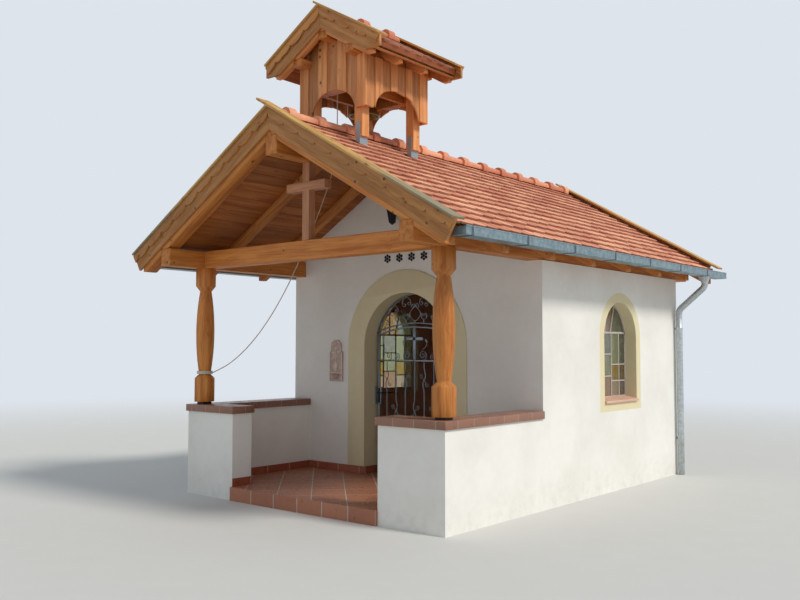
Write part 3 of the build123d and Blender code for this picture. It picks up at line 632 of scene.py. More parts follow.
# the roof tiles get painted shade on their cut sides, the ridge tiles none
roofClay = roofClayMaterial("roofClay", 0.6)
ridgeClay = roofClayMaterial("ridgeClay", 0.0)
floorTiles = terracottaMaterial("floorTiles", 0.344, 0.011, True, tone(150, 92, 66),
                                tone(182, 120, 90), tone(188, 180, 170))
copingTiles = terracottaMaterial("copingTiles", 0.245, 0.008, False, tone(124, 86, 70),
                                 tone(158, 112, 90), tone(164, 150, 134))
sillTiles = terracottaMaterial("sillTiles", 0.245, 0.006, False, tone(214, 164, 140),
                               tone(230, 188, 164), tone(222, 200, 184))
skirtingTiles = terracottaMaterial("skirtingTiles", 0.344, 0.008, False, tone(140, 68, 46),
                                   tone(168, 90, 62), tone(180, 168, 152))
zinc = metalMaterial("zincSheet", tone(120, 142, 150), tone(148, 166, 172), 0.7, 0.45, 26.0)
paleZinc = metalMaterial("paleZinc", tone(176, 184, 188), tone(200, 206, 208), 0.6, 0.45, 26.0)
darkZinc = metalMaterial("darkZinc", tone(84, 92, 98), tone(112, 120, 126), 0.8, 0.5, 60.0)
galvanised = metalMaterial("galvanisedIron", tone(128, 140, 148), tone(160, 170, 176), 0.75,
                           0.45, 90.0)
blackIron = metalMaterial("blackIron", tone(26, 26, 28), tone(42, 42, 44), 0.4, 0.5, 120.0)
bronze = metalMaterial("bellBronze", tone(120, 92, 52), tone(158, 124, 72), 0.9, 0.38, 40.0)
lead = metalMaterial("leadBars", tone(186, 178, 172), tone(208, 200, 194), 0.2, 0.55, 80.0)
panes = glassMaterial()
ropeYarn = ropeMaterial()
relief = plaqueMaterial("paintedRelief", tone(184, 160, 148), tone(206, 184, 170))
reliefLight = plaqueMaterial("paintedReliefLight", tone(218, 198, 186), tone(232, 216, 202))
footIron = footMaterial()
print("materials ready")


# stage

stageLook = {"floor": tone(206, 205, 200), "cloud": tone(210, 209, 205),
             "sky": tone(222, 228, 236), "light": (0.82, 0.9, 1.0, 1.0), "fill": 0.54,
             "near": 7.0, "far": 22.0, "radius": 90, "sunPlace": (9.5, 1.2, 10.8),
             "sunStrength": 2.2, "sunColor": (1.0, 0.965, 0.9), "sunAngle": 12}


def mixSurface(tree, factor, first, second, end):
    mix = addNode(tree, "MixShader", enumerate((factor, first, second)))
    feed(tree.nodes[end].inputs["Surface"], Flow(mix.outputs[0]))


def addStage():
    # a wide paper floor that fades into a plain sky; the fill light is not what the camera sees
    material, place = startMaterial("stagePaper", Roughness=0.95)
    tree = material.node_tree
    x, y = splitVector(place)[:2]
    far = calc("SQRT", x ** 2.0 + y ** 2.0)
    dress(material, blend(noise(place, 3.0), stageLook["floor"], stageLook["cloud"]))
    glow = addNode(tree, "Emission", (("Color", stageLook["sky"]),))
    seen = addNode(tree, "LightPath")
    mask = fade(far, stageLook["near"], stageLook["far"]) * Flow(seen.outputs["Is Camera Ray"])
    mixSurface(tree, mask, Flow(tree.nodes["Principled BSDF"].outputs[0]),
               Flow(glow.outputs[0]), "Material Output")
    shape = bmesh.new()
    bmesh.ops.create_circle(shape, cap_ends=True, radius=stageLook["radius"], segments=64)
    floor = linked("stageFloor", meshOf(shape, "stageFloor"))
    floor.data.materials.append(material)
    world = bpy.data.worlds.new("studio")
    world.use_nodes = True
    bpy.context.scene.world = world
    tree = world.node_tree
    back = tree.nodes["Background"]
    back.inputs["Color"].default_value = stageLook["sky"]
    back.inputs["Strength"].default_value = 1.0
    light = addNode(tree, "Background", (("Color", stageLook["light"]),
                                         ("Strength", stageLook["fill"])))
    seen = addNode(tree, "LightPath").outputs
    camera, glossy, clear = (Flow(seen[f"Is {word} Ray"])
                             for word in ("Camera", "Glossy", "Transmission"))
    rays = calc("MAXIMUM", calc("MAXIMUM", camera, glossy), clear)
    mixSurface(tree, rays, Flow(light.outputs[0]), Flow(back.outputs[0]), "World Output")


addCamera()
addStage()
addLamp("keyLight", "SUN", stageLook["sunPlace"], (0, 0, 1.5), energy=stageLook["sunStrength"],
        angle=math.radians(stageLook["sunAngle"]), color=stageLook["sunColor"])
bpy.context.scene.view_settings.view_transform = "Standard"
print("stage ready")


# bell rope

rope = {"diameter": 0.012, "length": 3.72, "strands": 3, "lay": 0.07, "step": 0.0075,
        "wind": 0.0029, "strand": 0.0031, "points": [
    (-0.112, -1.000, 4.480), (-0.112, -1.000, 3.812), (-0.112, -1.000, 3.670),
    (-0.151, -1.012, 3.535), (-0.200, -1.027, 3.385), (-0.255, -1.043, 3.232),
    (-0.317, -1.061, 3.078), (-0.382, -1.079, 2.925), (-0.451, -1.098, 2.773),
    (-0.525, -1.119, 2.615), (-0.603, -1.141, 2.455), (-0.687, -1.164, 2.295),
    (-0.780, -1.190, 2.138), (-0.879, -1.218, 1.985), (-0.985, -1.248, 1.841),
    (-1.099, -1.280, 1.706), (-1.219, -1.313, 1.588), (-1.347, -1.349, 1.482),
    (-1.480, -1.388, 1.397), (-1.634, -1.440, 1.330)]}


def curveMesh(points, radius=0.0, radii=None, kind="POLY"):
    # a round bar through the points, or a bare line where there is no radius
    curve = bpy.data.curves.new("bar", "CURVE")
    curve.dimensions = "3D"
    curve.resolution_u = 24
    curve.bevel_depth = radius
    curve.bevel_resolution = 1
    curve.use_fill_caps = True
    spline = curve.splines.new(kind)
    spline.points.add(len(points) - 1)
    for index, place in enumerate(points):
        spline.points[index].co = (*place, 1.0)
        if radii:
            spline.points[index].radius = radii[index]
    if kind == "NURBS":
        spline.order_u = 3
        spline.use_endpoint_u = True
    carrier = linked("bar", curve)
    graph = bpy.context.evaluated_depsgraph_get()
    mesh = bpy.data.meshes.new_from_object(carrier.evaluated_get(graph))
    bpy.data.objects.remove(carrier)
    return mesh


def strandPath(path, phase):
    # the line of one strand, which winds round the rope's own line
    far, points = 0.0, []
    for index, place in enumerate(path):
        if index:
            far += (place - path[index - 1]).length
        ahead = path[min(index + 1, len(path) - 1)] - path[max(index - 1, 0)]
        ahead.normalize()
        side = ahead.cross(Vector((0, 1, 0))).normalized()
        other = ahead.cross(side)
        angle = phase + 2 * math.pi * far / rope["lay"]
        points.append(place + rope["wind"] * (math.cos(angle) * side + math.sin(angle) * other))
    return points


def evenly(path, step):
    # the same line with points at even distances
    result, left = [path[0].copy()], step
    for before, after in zip(path, path[1:]):
        run = after - before
        while left <= run.length:
            result.append(before + run * (left / run.length))
            left += step
        left -= run.length
    result.append(path[-1].copy())
    return result


def makeRope():
    line = curveMesh(rope["points"], kind="NURBS")
    path = [vert.co.copy() for vert in line.vertices]
    fine = evenly(path, rope["step"])
    shape = bmesh.new()
    for number in range(rope["strands"]):
        phase = 2 * math.pi * number / rope["strands"]
        stamp(shape, curveMesh(strandPath(fine, phase), rope["strand"]))
    piece = finishPiece("bellRope", shape, ropeYarn, "hemp_rope", "bell_rope", smooth=60)
    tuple(path[0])


makeRope()
print("rope ready")


# walls and floors

for node in ("front_wall_left", "front_wall_right", "front_gable", "rear_wall", "left_wall",
             "right_wall", "left_parapet", "right_parapet"):
    paint(node, limeRender)
for node in ("porch_floor", "chapel_floor"):
    paint(node, floorTiles)
softened("left_coping", "copingLeft", copingTiles, "terracotta", 0.005, 2)
softened("right_coping", "copingRight", copingTiles, "terracotta", 0.005, 2)
softened("skirting", "skirtingBand", skirtingTiles, "terracotta", 0.0025)
softened("window_sills", "windowSills", sillTiles, "terracotta", 0.004)
softened("door_surround", "doorBand", creamPaint, "cream_paint", 0.004, 2)
print("masonry ready")


# porch timber

timberPlan = (
    ("left_post", "postLeft", "oiled", "z", 0.005),
    ("right_post", "postRight", "oiled", "z", 0.005),
    ("tie_beam", "tieBeam", "oiled", "x", 0.006),
    ("roof_purlins", "roofPurlins", "oiled", "y", 0.006),
    ("rafters_left", "raftersLeft", "oiled", "slope", 0.005),
    ("rafters_right", "raftersRight", "oiled", "slope", 0.005),
    ("turret_posts", "turretPosts", "cladding", "z", 0.004),
    ("turret_frame", "turretFrame", "oiled", "y", 0.004),
    ("turret_rafters", "turretRafters", "cladding", "slope", 0.003),
)
for number, (node, name, kind, direction, bevel) in enumerate(timberPlan):
    softened(node, name, timber(kind, direction), "oiled_spruce", bevel, 1, number)
# half width, front, low, high, bevel, direction, seed; the upright stands back a little
cross = {"gableCross": (0.047, -1.570, 2.695, 3.490, 0.004, "z", 41),
         "gableCrossArm": (0.277, -1.576, 3.202, 3.290, 0.005, "x", 42)}
crossRear = -1.476


def makeCross():
    for name, (half, front, low, high, bevel, direction, seed) in cross.items():
        shape = bmesh.new()
        stretchBox(shape, (-half, front, low), (half, crossRear, high), bevel)
        paintShade(shape, [len(shape.faces)], seed)
        nodes = ("gable_cross",) if direction == "z" else ()
        finishPiece(name, shape, timber("pale", direction), "oiled_spruce", *nodes)


makeCross()
print("timber ready")


# roof boards, seen from below and at the eaves

boards = {"width": 0.136, "gap": 0.0015, "bevel": 0.005, "first": 0.004}
# where the layers of the two roofs start and end along Y
mainRoof = {"front": -2.037, "rear": 3.779}
turretRoof = {"front": -1.353, "rear": -0.037}


def slopeSlabs(name, nodes, kind, level, slabs, bevel):
    # boxes that lie in the slope, on both sides of the ridge
    shape, counts = bmesh.new(), []
    for side in bothSides:
        for slab in slabs:
            counts.append(stamp(shape, meshFrom(stretchBox, *slab, bevel), onSlope(level, side)))
    paintShade(shape, counts, name)
    finishPiece(name, shape, timber(kind, "y"), "oiled_spruce", *nodes)


def boardDeck(name, nodes, low, high, reach, roof):
    run = reach / cosine
    count = max(1, round(run / boards["width"]))
    width, half = run / count, boards["gap"] / 2
    slabs = [((number * width + half if number else boards["first"], roof["front"],
               (low - high) * cosine), ((number + 1) * width - half, roof["rear"], 0))
             for number in range(count)]
    # the boarding tone carries painted shade for the undersides of the roofs
    slopeSlabs(name, nodes, "boarding", high, slabs, boards["bevel"])


boardDeck("soffitBoards", ("roof_boards_left", "roof_boards_right"), 3.763, 3.791, 2.12, mainRoof)
boardDeck("turretSoffit", ("turret_boards",), 4.983, 5.011, 0.74, turretRoof)


# clay roof tiles

tile = {"width": 0.187, "show": 0.168, "length": 0.33, "thick": 0.021, "tail": 0.032,
        "gap": 0.007, "bevel": 0.003, "tailSteps": 8, "shortest": 0.05, "clear": 0.012,
        "turn": 0.006, "drop": 0.0015, "slip": 0.003}


def tileMesh(width):
    # the tail lies at the origin, the head goes up the slope
    shape = bmesh.new()
    half = (width - tile["gap"]) / 2
    outline = [(-tile["length"], half), (-tile["length"], -half)]
    for step in range(tile["tailSteps"] + 1):
        across = -half + 2 * half * step / tile["tailSteps"]
        outline.append((-tile["tail"] * (across / half) ** 2, across))
    face = shape.faces.new([shape.verts.new((x, y, -tile["thick"])) for x, y in outline])
    top = pushed(shape, [face], (0, 0, tile["thick"]))
    rim = [edge for edge in shape.edges if all(vert in top for vert in edge.verts)]
    bevelled(shape, rim, tile["bevel"])
    return meshOf(shape, "tile")


def tileField(name, nodes, level, reach, roof, sides, seed):
    chance = random.Random(seed)
    y0, y1 = roof["front"], roof["rear"]
    columns = round((y1 - y0) / tile["width"])
    width = (y1 - y0) / columns
    whole, halfTile = tileMesh(width), tileMesh(width / 2)
    tilt = Matrix.Rotation(-math.atan(tile["thick"] / tile["show"]), 4, "Y")
    shape, counts = bmesh.new(), []
    run = reach / cosine
    rows = int((run - tile["shortest"]) / tile["show"]) + 1
    for side in sides:
        for row in range(rows):
            tail = run - row * tile["show"]
            spots = [(y0 + width * (number + 0.5), whole) for number in range(columns)]
            if row % 2:
                spots = [(y0 + width * number, whole) for number in range(1, columns)]
                spots += [(y0 + width * 0.25, halfTile), (y1 - width * 0.25, halfTile)]
            shrink = min(1.0, (tail - tile["clear"]) / tile["length"])
            for y, mesh in spots:
                jitter = Matrix.Rotation(chance.uniform(-tile["turn"], tile["turn"]), 4, "Z")
                drop = chance.uniform(-tile["drop"], 0.0)
                slip = chance.uniform(0, tile["slip"])
                place = onSlope(level, side, y) @ Matrix.Translation((tail - slip, 0, drop))
                place = place @ jitter @ tilt @ Matrix.Scale(shrink, 4, (1, 0, 0))
                counts.append(stamp(shape, mesh, place))
    paintShade(shape, counts, seed + 1)
    finishPiece(name, shape, roofClay, "roof_clay", *nodes, smooth=0)


tileField("roofTilesRight", ("roof_tiles_right",), 3.916, 2.17, mainRoof, (1,), 11)
tileField("roofTilesLeft", ("roof_tiles_left",), 3.916, 2.17, mainRoof, (-1,), 12)
tileField("turretTiles", ("turret_tiles",), 5.125, 0.785, turretRoof, bothSides, 13)
print("tiles laid")

# what lies under the tiles
underlay = {"inset": 0.004, "bevel": 0.003, "start": 0.02, "end": 0.05, "board": 0.045,
            "boardEnd": 0.002, "top": 0.45, "fascia": 0.02}


def battenLayer(name, low, high, reach, roof):
    # the board and batten layer between the soffit boards and the tiles
    thick, run = (high - low) * cosine, reach / cosine
    y0, y1 = roof["front"] + underlay["inset"], roof["rear"] - underlay["inset"]
    slabs = (((underlay["start"], y0, -thick),
              (run - underlay["end"], y1, -thick * underlay["top"])),
             ((run - underlay["board"], y0, -thick),
              (run - underlay["boardEnd"], y1, -underlay["boardEnd"])))
    slopeSlabs(name, (), "oiled", high, slabs, underlay["bevel"])


def eavesFascia(name, level, deep, reach, roof):
    # a board on edge right under the tails of the lowest tiles
    run = reach / cosine
    slab = ((run - underlay["fascia"], roof["front"] + underlay["inset"], -deep * cosine),
            (run, roof["rear"] - underlay["inset"], 0))
    slopeSlabs(name, (), "fascia", level, (slab,), underlay["bevel"])


battenLayer("battens", 3.791, 3.846, 2.12, mainRoof)
battenLayer("turretBattens", 5.011, 5.055, 0.70, turretRoof)
eavesFascia("turretFascia", 5.098, 0.065, 0.765, turretRoof)


# ridge tiles

ridge = {"pitch": 0.4188, "lap": 0.03, "free": 0.06, "collar": 0.1, "wall": 0.012, "turn": 236,
         "steps": 18, "shrink": 0.005, "rounding": 0.003, "collarEnd": 0.007, "cap": 0.02,
         "hole": 0.03, "lean": 0.008, "sink": 0.002}


def ridgeTileMesh(radius, body, length, whole):
    # a collar at the front, a slimmer body behind it; a cut tile has no collar and is closed
    shape = bmesh.new()
    end = body - ridge["shrink"]
    inner, edge = end - ridge["wall"], ridge["rounding"]
    if whole:
        profile = [(0.0, radius - edge), (2 * edge, radius), (ridge["collar"], radius),
                   (ridge["collar"] + ridge["collarEnd"], body), (length, end), (length, inner),
                   (0.0, body - edge)]
    else:
        profile = [(0.0, body), (length, end), (length, inner), (ridge["cap"], inner),
                   (0.0, ridge["hole"])]
    start = math.radians(-ridge["turn"] / 2)
    verts = [shape.verts.new((r * math.sin(start), y, r * math.cos(start))) for y, r in profile]
    face = shape.faces.new(verts)
    bmesh.ops.spin(shape, geom=[face] + list(face.edges) + verts, cent=(0, 0, 0),
                   axis=(0, 1, 0), angle=math.radians(ridge["turn"]), steps=ridge["steps"],
                   use_duplicate=False, use_merge=False)
    bmesh.ops.remove_doubles(shape, verts=shape.verts, dist=0.00001)
    return meshOf(shape, "ridgeTile")


def ridgeRow(name, node, level, radius, body, y0, y1, first, seed):
    shape, counts = bmesh.new(), []
    chance = random.Random(seed)
    at = first
    while at < y1 - ridge["free"]:
        start = max(at, y0)
        length = min(at + ridge["pitch"] + ridge["lap"], y1) - start
        mesh = ridgeTileMesh(radius, body, length, at >= y0 + ridge["free"])
        turn = Matrix.Rotation(chance.uniform(-ridge["lean"], ridge["lean"]), 4, "Y")
        sink = chance.uniform(0, ridge["sink"])
        counts.append(stamp(shape, mesh, Matrix.Translation((0, start, level - sink)) @ turn))
        at = first + len(counts) * ridge["pitch"]
    paintShade(shape, counts, seed)
    finishPiece(name, shape, ridgeClay, "roof_clay", node, smooth=40)


ridgeRow("ridgeTiles", "ridge_tiles", 3.916, 0.080, 0.052, -1.937, 3.679,
         -1.859 - ridge["pitch"], 21)
ridgeRow("turretRidgeTiles", "turret_ridge_tiles", 5.125, 0.080, 0.046, -1.253, -0.137, -1.2, 22)


# bargeboards with a shaped strip, and the cover boards on top

verge = {"motif": 0.43, "cut": 0.070, "lobe": 0.027, "notch": 0.014, "dot": 0.009,
         "samples": 40, "split": 0.53, "strip": 0.02, "board": 0.05, "bevel": 0.0025,
         "tip": 0.1, "tipInset": 0.047, "waveEnd": 0.05}


def roofLine(level, x):
    return level - abs(x) * slope


def waveDepth(along):
    # how far below the top the strip's lower edge lies
    part, split = (along / verge["motif"]) % 1.0, verge["split"]
    if part < split:
        lobe = math.sqrt(math.sin(math.pi * part / split))
        lobe *= 0.78 - 0.22 * math.cos(4 * math.pi * part / split)
    else:
        lobe = math.sin(math.pi * (part - split) / (1 - split))
    depth = verge["cut"] + verge["lobe"] * lobe
    for dot in (0.0, split, 1.0):
        away = abs(part - dot) * verge["motif"]
        if away < verge["dot"]:
            depth -= verge["notch"] * math.sqrt(1 - (away / verge["dot"]) ** 2)
    return depth


def stripOutline(high, reach):
    steps = int(reach / verge["motif"] * verge["samples"])
    lower = []
    for step in range(steps + 1):
        x = (reach - verge["waveEnd"]) * step / steps
        lower.append((x, roofLine(high - waveDepth(x) / cosine, x)))
    tip = reach - verge["tipInset"]
    return [(0, high), *lower, (tip, roofLine(high - verge["tip"], tip)),
            (reach, roofLine(high, reach))]


def boardOutline(low, high, reach, bottom=None):
    # the lower end is cut square to the slope, or level where a bottom is given
    ends = [(reach, roofLine(high, reach)), (0, high)]
    if bottom:
        return [(0, low), ((low - bottom) / slope, bottom), (reach, bottom), *ends]
    lowReach = reach - (high - low) * cosine * sine
    return [(0, low), (lowReach, roofLine(low, lowReach)), *ends]


def bargePiece(name, node, low, high, reach, front, rear, rearReach, bottom=None):
    shape, counts = bmesh.new(), []
    for start, turn, far in ((front, 1, reach), (rear, -1, rearReach)):
        edges = [start + turn * depth for depth in (0.0, verge["strip"], verge["board"])]
        for side in bothSides:
            for outline, ends in ((stripOutline(high, far), edges[:2]),
                                  (boardOutline(low, high, far, bottom), edges[1:])):
                points = [(side * x, z) for x, z in outline]
                before = len(shape.faces)
                outlineSolid(shape, points, min(ends), max(ends), verge["bevel"])
                counts.append(len(shape.faces) - before)
    # the strip is given a darker shade than the board below it
    paintShade(shape, counts, name, 0.6, [-1.1, 0.6] * (len(counts) // 2))
    finishPiece(name, shape, timber("weathered", "slope"), "weathered_spruce", node)


bargePiece("bargeboards", "bargeboards", 3.728, 3.952, 2.242, -2.087, 3.829, 2.11)
bargePiece("turretBargeboards", "turret_bargeboards", 4.925, 5.157, 0.827, -1.403, 0.013, 0.827,
           4.560)
softened("cover_boards", "coverBoards", coverWood, "weathered_spruce", 0.003, 1, 31)
softened("turret_cover_boards", "turretCoverBoards", coverWood, "weathered_spruce", 0.003, 1, 32)
print("verges ready")


# gutters and downpipes

gutter = {"inner": 2.126, "outer": 2.282, "low": 2.525, "high": 2.605, "back": 2.583,
          "sheet": 0.003, "bead": 0.007, "front": -1.978, "rear": 3.870, "capInset": 0.006,
          "seams": (-0.02, 1.95), "seamWidth": 0.05, "seamProud": 0.0015, "capEdge": 0.002,
          "capTop": 0.008, "bevel": 0.0008}
strap = {"thick": 0.0027, "width": 0.028, "count": 7, "first": -1.889, "step": 0.85,
         "inner": (2.120, 2.1235), "top": 2.551, "drop": 0.004, "base": 0.0035,
         "tie": (2.13, 2.275, 2.6015, 2.6045), "tieWidth": 0.7, "rivets": (2.545, 2.585),
         "rivet": 0.008, "rivetInset": 0.010, "rivetProud": 0.0012}


def troughOutline(grow=0.0):
    # the cross section: the back is lower than the front, the top is open
    thin = gutter["sheet"] + grow
    x0, x1, low, high = gutter["inner"], gutter["outer"], gutter["low"], gutter["high"] - grow
    back = gutter["back"] - grow
    return [(x0 - grow, back), (x0 - grow, low - grow), (x1 + grow, low - grow), (x1 + grow, high),
            (x1 - thin, high), (x1 - thin, low + thin), (x0 + thin, low + thin),
            (x0 + thin, back)]


def makeGutters():
    trough = bmesh.new()
    front, rear, high, bead = (gutter[key] for key in ("front", "rear", "high", "bead"))
    outlineSolid(trough, troughOutline(), front, rear)
    edge, sheet = gutter["capEdge"], gutter["sheet"]
    for y in (front + gutter["capInset"], rear - gutter["capInset"] - sheet):
        stretchBox(trough, (gutter["inner"] + edge, y, gutter["low"] + edge),
                   (gutter["outer"] - edge, y + sheet, high - gutter["capTop"]), gutter["bevel"])
    rod(trough, bead, rear - front, (gutter["outer"] - bead * 0.55, (front + rear) / 2,
                                     high - bead), 12, "X")
    for y in gutter["seams"]:
        outlineSolid(trough, troughOutline(gutter["seamProud"]), y, y + gutter["seamWidth"])
    mesh = meshOf(trough)
    for name, node, place in (("gutterRight", "right_gutter", None),
                              ("gutterLeft", "left_gutter", mirrorX)):
        finishPiece(name, stamped(mesh, (place,)), zinc, "zinc_sheet", node, smooth=40)
    straps = bmesh.new()
    low, outer = gutter["low"] - strap["drop"], gutter["outer"] + strap["thick"]
    base, top, lip = low + strap["base"], strap["top"], outer - strap["thick"]
    (x0, x1), high = strap["inner"], high - 0.001
    outline = [(x0, top), (x0, low), (outer, low), (outer, high), (lip, high), (lip, base),
               (x1, base), (x1, top)]
    tieStart, tieEnd, tieLow, tieHigh = strap["tie"]
    for number in range(strap["count"]):
        y = strap["first"] + number * strap["step"] - strap["width"] / 2
        outlineSolid(straps, outline, y, y + strap["width"])
        stretchBox(straps, (tieStart, y, tieLow),
                   (tieEnd, y + strap["width"] * strap["tieWidth"], tieHigh), gutter["bevel"])
        for z in strap["rivets"]:
            start, size = y + strap["rivetInset"], strap["rivet"]
            stretchBox(straps, (outer - 0.001, start, z),
                       (outer + strap["rivetProud"], start + size, z + size), 0.001)
    finishPiece("gutterStraps", stamped(meshOf(straps), (None, mirrorX)), darkZinc, "zinc_sheet",
                "gutter_brackets", smooth=40)


makeGutters()
softened("downpipes", "downpipes", paleZinc, "zinc_sheet", 0.001)


# turret boarding

cladding = {"thick": 0.022, "back": 0.017, "low": 4.070, "archHigh": 0.24, "frontArch": 0.308,
            "sideArch": 0.356, "lap": 0.012, "bevel": 0.007, "joint": 0.005, "paintedRecessShade": -1.8,
            "inset": 0.002, "half": 0.49, "frontTop": 4.975, "sideTop": 4.883, "sideOut": 0.47,
            "sideStart": -1.181, "sideEnd": -0.209, "front": -1.205, "rear": -0.185,
            "middle": -0.695}


def boardRow(start, end, number, proudFirst, topOf, archHalf, middle):
    # upright boards, every second one set back, with the arch cut through their feet
    width = (end - start) / number
    for index in range(number):
        proud = (index % 2 == 0) == proudFirst
        x0, x1 = start + index * width, start + (index + 1) * width
        if proud:
            x0, x1 = x0 + cladding["joint"], x1 - cladding["joint"]
        else:
            lap, inset = cladding["lap"], cladding["inset"]
            x0 = max(x0 - lap, start + (0 if index else inset))
            x1 = min(x1 + lap, end - (0 if index < number - 1 else inset))
        feet = []
        for step in range(9):
            x = x0 + (x1 - x0) * step / 8
            part = (x - middle) / archHalf
            rise = cladding["archHigh"] * math.sqrt(max(0.0, 1 - part * part))
            feet.append((x, cladding["low"] + rise))
        tops = [(x, topOf(x)) for x in ((x1, middle, x0) if x0 < middle < x1 else (x1, x0))]
        depth = 0.0 if proud else cladding["back"]
        yield proud, meshFrom(outlineSolid, feet + tops, depth, depth + cladding["thick"],
                              cladding["bevel"])


def makeCladding():
    gable = (-cladding["half"], cladding["half"], 7, True,
             lambda x: roofLine(cladding["frontTop"], x), cladding["frontArch"], 0.0)
    flank = (cladding["sideStart"], cladding["sideEnd"], 8, False,
             lambda x: roofLine(cladding["sideTop"], cladding["sideOut"]), cladding["sideArch"],
             cladding["middle"])
    front = Matrix.Translation((0, cladding["front"], 0))
    rear = Matrix.Translation((0, cladding["rear"], 0)) @ Matrix.Scale(-1, 4, (0, 1, 0))
    outward = Matrix.Translation((cladding["half"], 0, 0)) @ Matrix.Rotation(
        math.pi / 2, 4, "Z")
    for word, row, place in (("Front", gable, front), ("Rear", gable, rear),
                             ("Right", flank, outward), ("Left", flank, mirrorX @ outward)):
        name, shape, counts, shades = "turret" + word, bmesh.new(), [], []
        for proud, board in boardRow(*row):
            counts.append(stamp(shape, board, place))
            # painted shade: the set-back boards are darkened by this offset, for the shade in the
            # recesses between the proud boards
            shades.append(0.0 if proud else cladding["paintedRecessShade"])
        paintShade(shape, counts, name, 0.7, shades)
        finishPiece(name, shape, timber("cladding", "z"), "oiled_spruce",
                    "turret_cladding_" + word.lower())


makeCladding()
print("turret boarding ready")


# four forged rosettes on the front wall above the doorway

rosette = {"first": -0.26, "step": 0.18, "count": 4, "z": 2.65, "radius": 0.036, "petals": 6,
           "size": 0.017}


def flatBall(shape, x, y, z, size, flat):
    verts = bmesh.ops.create_icosphere(shape, subdivisions=2, radius=1.0)["verts"]
    bmesh.ops.scale(shape, verts=verts, vec=(size, size * flat, size))
    bmesh.ops.translate(shape, verts=verts, vec=(x, y, z))


def makeRosettes():
    shape = bmesh.new()
    for number in range(rosette["count"]):
        centre = (rosette["first"] + number * rosette["step"], rosette["z"])
        for petal in range(rosette["petals"]):
            angle = math.pi / 2 - 2 * math.pi * petal / rosette["petals"]
            x, z = onCircle(centre, rosette["radius"], angle)
            flatBall(shape, x, -0.002, z, rosette["size"], 0.45)
        flatBall(shape, centre[0], -0.004, centre[1], rosette["size"], 0.7)
    finishPiece("rosettes", shape, blackIron, "black_iron")


makeRosettes()


# iron work: bars, scrolls and collars of the gate and the fanlight

gate = {"y": 0.190, "left": -0.569, "right": 0.5545, "bottom": 0.170, "frame": 0.030,
        "midRail": 1.467, "sideTop": 1.760, "middleTop": 1.865, "bar": 0.0065, "bars": 7,
        "thin": 0.0048, "hinge": 0.566, "bend": 0.026, "bendHalf": 0.14, "deep": 0.012,
        "cross": 0.020, "crossArm": 0.128, "crossDrop": 0.144, "railHalf": 0.009,
        "bends": (1.245, 0.52), "middleBend": 0.88, "collar": (0.0095, 0.007),
        "curl": (0.043, 0.052, 0.030), "hingeLevels": (0.430, 1.330), "barrel": 0.0115,
        "barrelHigh": 0.05, "lock": (0.951, 1.151), "lockDeep": 0.017,
        "lever": ((0.032, 0.0, 1.085), (0.032, 0.035, 1.085), (0.045, 0.042, 1.085),
                  (0.13, 0.040, 1.082), (0.142, 0.036, 1.074)), "leverRadius": 0.0075}
# above the rail: places beside the middle, with heights over the rail or under the arm
gateTop = {"scroll": (0.118, 0.066, 0.062), "leaf": (0.168, 0.026, 38),
           "leafSize": (0.011, 0.004, 0.026), "stem": ((0.118, 0.128), (0.17, 0.17)),
           "stemTop": (0.175, 0.045), "small": ((0.27, 0.045), (0.39, 0.05)),
           "tall": ((0.47, 0.005), (0.46, 0.12)), "tallTop": (0.485, 0.02)}
scroll = {"steps": 15, "curl": 0.42, "reach": 0.62 * math.pi, "turn": 1.9 * math.pi,
          "tight": 0.72, "taper": 0.3}


def wire(shape, points, radius=gate["thin"], radii=None):
    # a bent bar through points in X and Z
    points = [(x, gate["y"], z) for x, z in points]
    stamp(shape, curveMesh(points, radius, radii))


def slab(shape, x0, x1, z0, z1, bevel=0.002, inset=0.0):
    # a flat bar in the plane of the gate
    deep = gate["deep"] - inset
    stretchBox(shape, (x0, gate["y"] - deep, z0), (x1, gate["y"] + deep, z1), bevel)


def spiral(centre, radius, start, turns, hand=1, steps=26):
    # a flat scroll that winds in from its outer end
    parts = [step / steps for step in range(steps + 1)]
    return [onCircle(centre, radius * (1 - 0.84 * part ** 0.85),
                     start + hand * 2 * math.pi * turns * part) for part in parts]


def cScroll(shape, centre, radius, facing):
    # a C with a curl at each end; it opens towards the facing angle
    steps, curl = scroll["steps"], radius * scroll["curl"]
    radii = [1.0] * (steps + 1) + [1.0 - scroll["taper"] * step / steps for step in range(steps)]
    for side in bothSides:
        back = facing + math.pi
        tip = back - side * scroll["reach"]
        middle = onCircle(centre, radius - curl, tip)
        points = [onCircle(centre, radius, back - side * scroll["reach"] * step / steps)
                  for step in range(steps)]
        points += [onCircle(middle, curl * (1 - scroll["tight"] * step / steps),
                            tip - side * scroll["turn"] * step / steps)
                   for step in range(steps + 1)]
        wire(shape, points, radii=radii)


def knob(shape, x, z, radius):
    verts = bmesh.ops.create_uvsphere(shape, u_segments=10, v_segments=7, radius=radius)["verts"]
    bmesh.ops.translate(shape, vec=(x, gate["y"], z), verts=verts)


def arcHeight(x, sideZ, middleZ, inset=0.0):
    # height at X of a flat arc that spans the doorway
    rise = middleZ - sideZ
    radius = (chapel["doorHalf"] ** 2 + rise ** 2) / (2 * rise)
    return middleZ - radius + math.sqrt((radius - inset) ** 2 - x * x)


def arcTop(x):
    return arcHeight(x, gate["sideTop"], gate["middleTop"])


def flatArc(shape, sideZ, middleZ, height, x0, x1, steps=40):
    xs = [x0 + (x1 - x0) * step / steps for step in range(steps + 1)]
    top = [(x, arcHeight(x, sideZ, middleZ)) for x in xs]
    low = [(x, arcHeight(x, sideZ, middleZ, height)) for x in reversed(xs)]
    outlineSolid(shape, top + low, gate["y"] - gate["deep"], gate["y"] + gate["deep"], 0.002)


